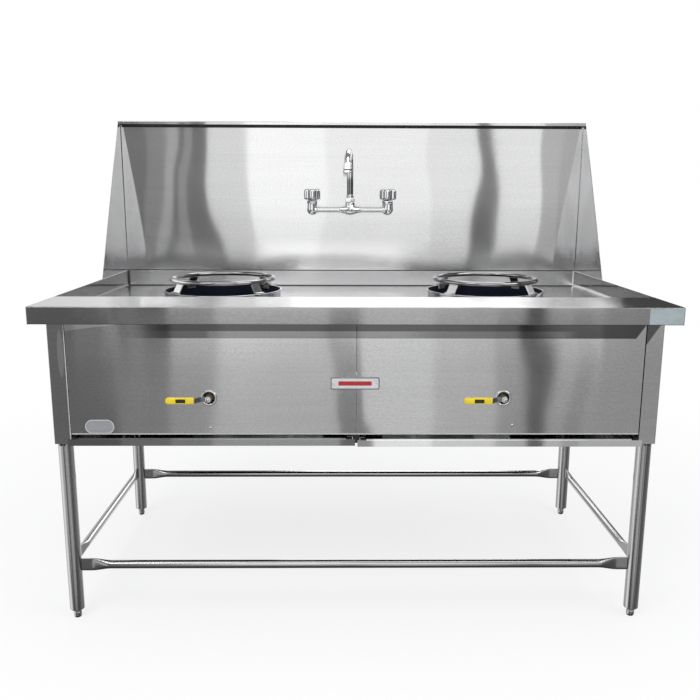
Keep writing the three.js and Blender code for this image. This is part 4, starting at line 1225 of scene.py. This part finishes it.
def front_slot():
    """What closes the slot over the drip trays' lips: a plate in the middle, a step at each tray's ends and a
    stop at each end; beside it small brackets under the cabinet's corners."""
    foot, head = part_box("drip_tray_left")[0].z + 3 * MM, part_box("front_panel_left")[0].z - GAP
    # The slot plate, the steps and the stops are painted black, as painted shade in the slot.
    settle("slot_plate", block(1, (-9.2, 9.2), (47, 49), (foot, head), PIPE_AND_SHADE, 0.3 * MM))
    for name, side in SIDES.items():
        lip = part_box(f"drip_tray_{name}")[1].z
        level, flange = lip - 4.6 * MM, lip - 1.2 * MM
        steps = []
        for ends in ((10, 26), (706, 722)):
            steps.append(block(side, ends, (35.7, 81), (level, level + 1.2 * MM), SEALANT_AND_SHADE))
            steps.append(block(side, ends, (79.8, 81), (level, flange), SEALANT_AND_SHADE))
        settle(f"tray_steps_{name}", *steps, body=f"drip_tray_{name}")
        settle(f"slot_end_{name}", block(side, (723.4, 744), (36.6, 38.2), (foot, head), PIPE_AND_SHADE, 0.3 * MM),
               block(side, (723.4, 724.8), (37, 120), (foot, head), PIPE_AND_SHADE, 0.3 * MM))
        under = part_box(f"side_panel_{name}")[0].z - GAP
        bracket = block(side, (741, 757), (38, 64), (under - 6 * MM, under), PIPE_AND_SHADE, 0.8 * MM)
        settle(f"corner_bracket_{name}", bracket)


def film():
    """A blank pale film on the fascia's right end."""
    low, high = (HALF_WIDTH - 86 * MM, RIM - 42 * MM), (HALF_WIDTH - 2 * MM, RIM - 3 * MM)
    sheet = bar(rounded_box(low, high, 1.5 * MM), "y", FRONT - 0.15 * MM, FRONT + MM, 0.1 * MM)
    settle("blank_film", painted(sheet, FILM))


# ---- Stage


def camera():
    data = bpy.data.cameras.new("camera")
    data.sensor_width = 36.0
    data.lens = FOCAL_PIXELS / IMAGE_SIDE * data.sensor_width
    data.clip_end = 100
    obj = linked("camera", data)
    turn, tilt, roll = [Matrix.Rotation(math.radians(angle), 4, axis) for angle, axis in
                        ((-CAMERA_YAW, "Z"), (90 - CAMERA_PITCH, "X"), (CAMERA_ROLL, "Z"))]
    obj.matrix_world = Matrix.Translation(CAMERA_PLACE) @ turn @ tilt @ roll
    bpy.context.scene.camera = obj


def surroundings():
    """A soft cool light for the object, and plain white behind it."""
    world = bpy.data.worlds.new("studio")
    bpy.context.scene.world = world
    tree = Tree(world)
    soft = tree.node("Background", Color=(0.9, 0.93, 1.0, 1), Strength=0.45)
    white = tree.node("Background", Color=(1, 1, 1, 1), Strength=1.0)
    tree.show(tree.node("MixShader", tree.seen_rays(), soft, white), "World")


def floor():
    """A floor that is lit under the object and turns to plain white away from it."""
    tree = Tree(bpy.data.materials.new("studio_floor"))
    diffuse = tree.node("BsdfDiffuse", Color=(0.86, 0.86, 0.86, 1))
    glow = tree.node("Emission", Strength=1.0)
    distance = tree.node("VectorMath", tree.node("TexCoord", out="Object"), operation="LENGTH", out="Value")
    share = tree.times(tree.ranged(distance, 0.80, 1.0, 0.9, 2.6), tree.seen_rays())
    tree.show(tree.node("MixShader", share, diffuse, glow))
    size = 30
    corners = [(-size, -size, 0), (size, -size, 0), (size, size, 0), (-size, size, 0)]
    plane = painted(mesh_object(corners, [(0, 1, 2, 3)], "floor"), tree.owner)
    plane.visible_glossy = False


def area_light(name, place, target, size, power):
    data = bpy.data.lights.new(name, "AREA")
    data.shape = "RECTANGLE"
    data.size, data.size_y = size
    data.energy = power
    obj = linked(name, data)
    obj.location = place
    obj.rotation_euler = (Vector(target) - Vector(place)).to_track_quat("-Z", "Y").to_euler()


def screen(name, corners, tone):
    """A plain screen of the studio that only bright metal mirrors."""
    tree = Tree(bpy.data.materials.new(name))
    tree.owner.cycles.emission_sampling = "NONE"
    tree.show(tree.node("Emission", Strength=tone))
    sheet = painted(mesh_object(corners, [(0, 1, 2, 3)], name), tree.owner)
    for rays in ("camera", "diffuse", "shadow", "transmission"):
        setattr(sheet, f"visible_{rays}", False)


def screens(name, axis, at, edges, heights, tones):
    """A row of upright screens at a fixed X or Y, from edge to edge."""
    low, high = heights
    for i, tone in enumerate(tones):
        (x0, y0), (x1, y1) = [(at, e) if axis == "x" else (e, at) for e in edges[i:i + 2]]
        screen(f"{name}_{i}", [(x0, y0, low), (x1, y1, low), (x1, y1, high), (x0, y0, high)], tone)


def level_screen(name, x, y, z, tone):
    screen(name, [(x[0], y[0], z), (x[1], y[0], z), (x[1], y[1], z), (x[0], y[1], z)], tone)


def lighting():
    area_light("key", (-1.6, -2.6, 3.4), (0, 0, 0.7), (2.2, 1.4), 75)
    area_light("fill", (2.6, -2.0, 2.6), (0, 0, 0.7), (2.0, 1.6), 40)
    area_light("top", (0, 0.2, 3.6), (0, 0, 0.5), (3.0, 2.0), 60)
    edges = (-WALL, -2.1, -1.62, -1.46, -1.36, -1.30, -1.20, -1.03, -0.78, -0.15, 0.7, 1.06, 1.15, 1.5, 1.7,
             2.3, WALL)
    screens("drape_high", "y", DRAPE, edges, (0.95, CEILING),
            (0.7, 0.25, 0.36, 0.58, 0.25, 0.42, 0.25, 1.1, 1.6, 1.45, 1.3, 0.30, 1.3, 0.75, 0.65, 0.15))
    screens("drape_middle", "y", DRAPE, edges, (0.3, 0.95),
            (0.7, 0.2, 0.32, 0.50, 0.2, 0.36, 0.2, 0.9, 1.3, 1.15, 1.0, 0.10, 1.05, 0.6, 0.5, 0.15))
    edges = (-WALL, -2.1, -1.4, -1.04, -0.8, -0.085, 0.10, 0.55, 0.9, 1.06, 1.17, 1.3, 1.44, 2.3, WALL)
    screens("drape_low", "y", DRAPE, edges, (-1.4, 0.3),
            (0.7, 0.18, 0.30, 0.40, 0.62, 0.28, 0.80, 0.62, 0.42, 0.12, 0.46, 0.34, 0.42, 0.15))
    screens("drape_floor", "y", DRAPE, (-WALL, WALL), (PIT, -1.4), (0.12,))
    edges = (-WALL, -1.6, -0.5, 0.5, 1.35, 1.75, 2.0, WALL)
    screens("rear_high", "y", REAR, edges, (1.1, CEILING), (0.8, 0.35, 2.4, 2.6, 0.35, 0.9, 0.05))
    screens("rear_low", "y", REAR, edges, (PIT, 1.1), (0.7, 0.5, 1.2, 0.7, 0.5, 0.4, 0.4))
    edges = (DRAPE, -1.9, -0.8, -0.3, 0, 0.7, 1.8, REAR)
    screens("side_left", "x", -WALL, edges, (PIT, CEILING), (0.8, 1.3, 1.5, 1.4, 1.2, 0.9, 0.7))
    screens("side_right", "x", WALL, edges, (PIT, CEILING), (0.2, 0.15, 0.4, 0.15, 0.4, 0.25, 0.5))
    level_screen("ceiling", (-WALL, WALL), (DRAPE, REAR), CEILING, 0.2)
    level_screen("ceiling_box", (-1.5, 1.5), (-1.9, -0.3), CEILING - 0.01, 1.8)
    level_screen("ceiling_rear", (-0.35, 1.25), (0.8, 2.8), CEILING - 0.01, 5.0)
    level_screen("pit", (-WALL, WALL), (DRAPE, REAR), PIT, 0.08)


# ---- The whole object

bpy.context.scene.view_settings.view_transform = "Standard"
camera()
surroundings()
floor()
lighting()

worktop()
back_splash()
faucet_body()
faucet_spout()
nameplate()
rating_plate()
panel_screw("left", -370.4 * MM, 534.8 * MM)
panel_screw("right", 397.3 * MM, 541.2 * MM)
front_slot()
film()
for side_name, side_sign in SIDES.items():
    for build in (side_splash, front_panel, side_panel):
        build(side_name, side_sign)
    for build in (burner_collar, wok_ring, burner_head, valve_lever, faucet_handle):
        build(side_name)
    for end in ("front", "back"):
        leg(f"{end}_{side_name}")
for rail_name in ("front", "back", "left", "right"):
    cross_rail(rail_name)

for node_name, node_material in {
    "back_panel": STEEL, "drain_outlet": BRIGHT, "gas_manifold": PIPE_AND_SHADE, "tray_runner_centre": STEEL_PLAIN,
    "frame_rail_front": STEEL_PLAIN, "frame_rail_back": STEEL_PLAIN,
}.items():
    dress(node_name, node_material)
for side_name in SIDES:
    for node_name, node_material in {
        "drip_tray": STEEL_TRAYS[side_name], "tray_runner": STEEL_PLAIN, "frame_rail": STEEL_PLAIN,
        "mixing_tube": IRON, "air_shutter": PIPE_AND_SHADE, "gas_riser": PIPE_AND_SHADE, "valve_body": BRASS,
        "supply_pipe": BRIGHT,
    }.items():
        dress(f"{node_name}_{side_name}", node_material)

bpy.context.view_layer.update()
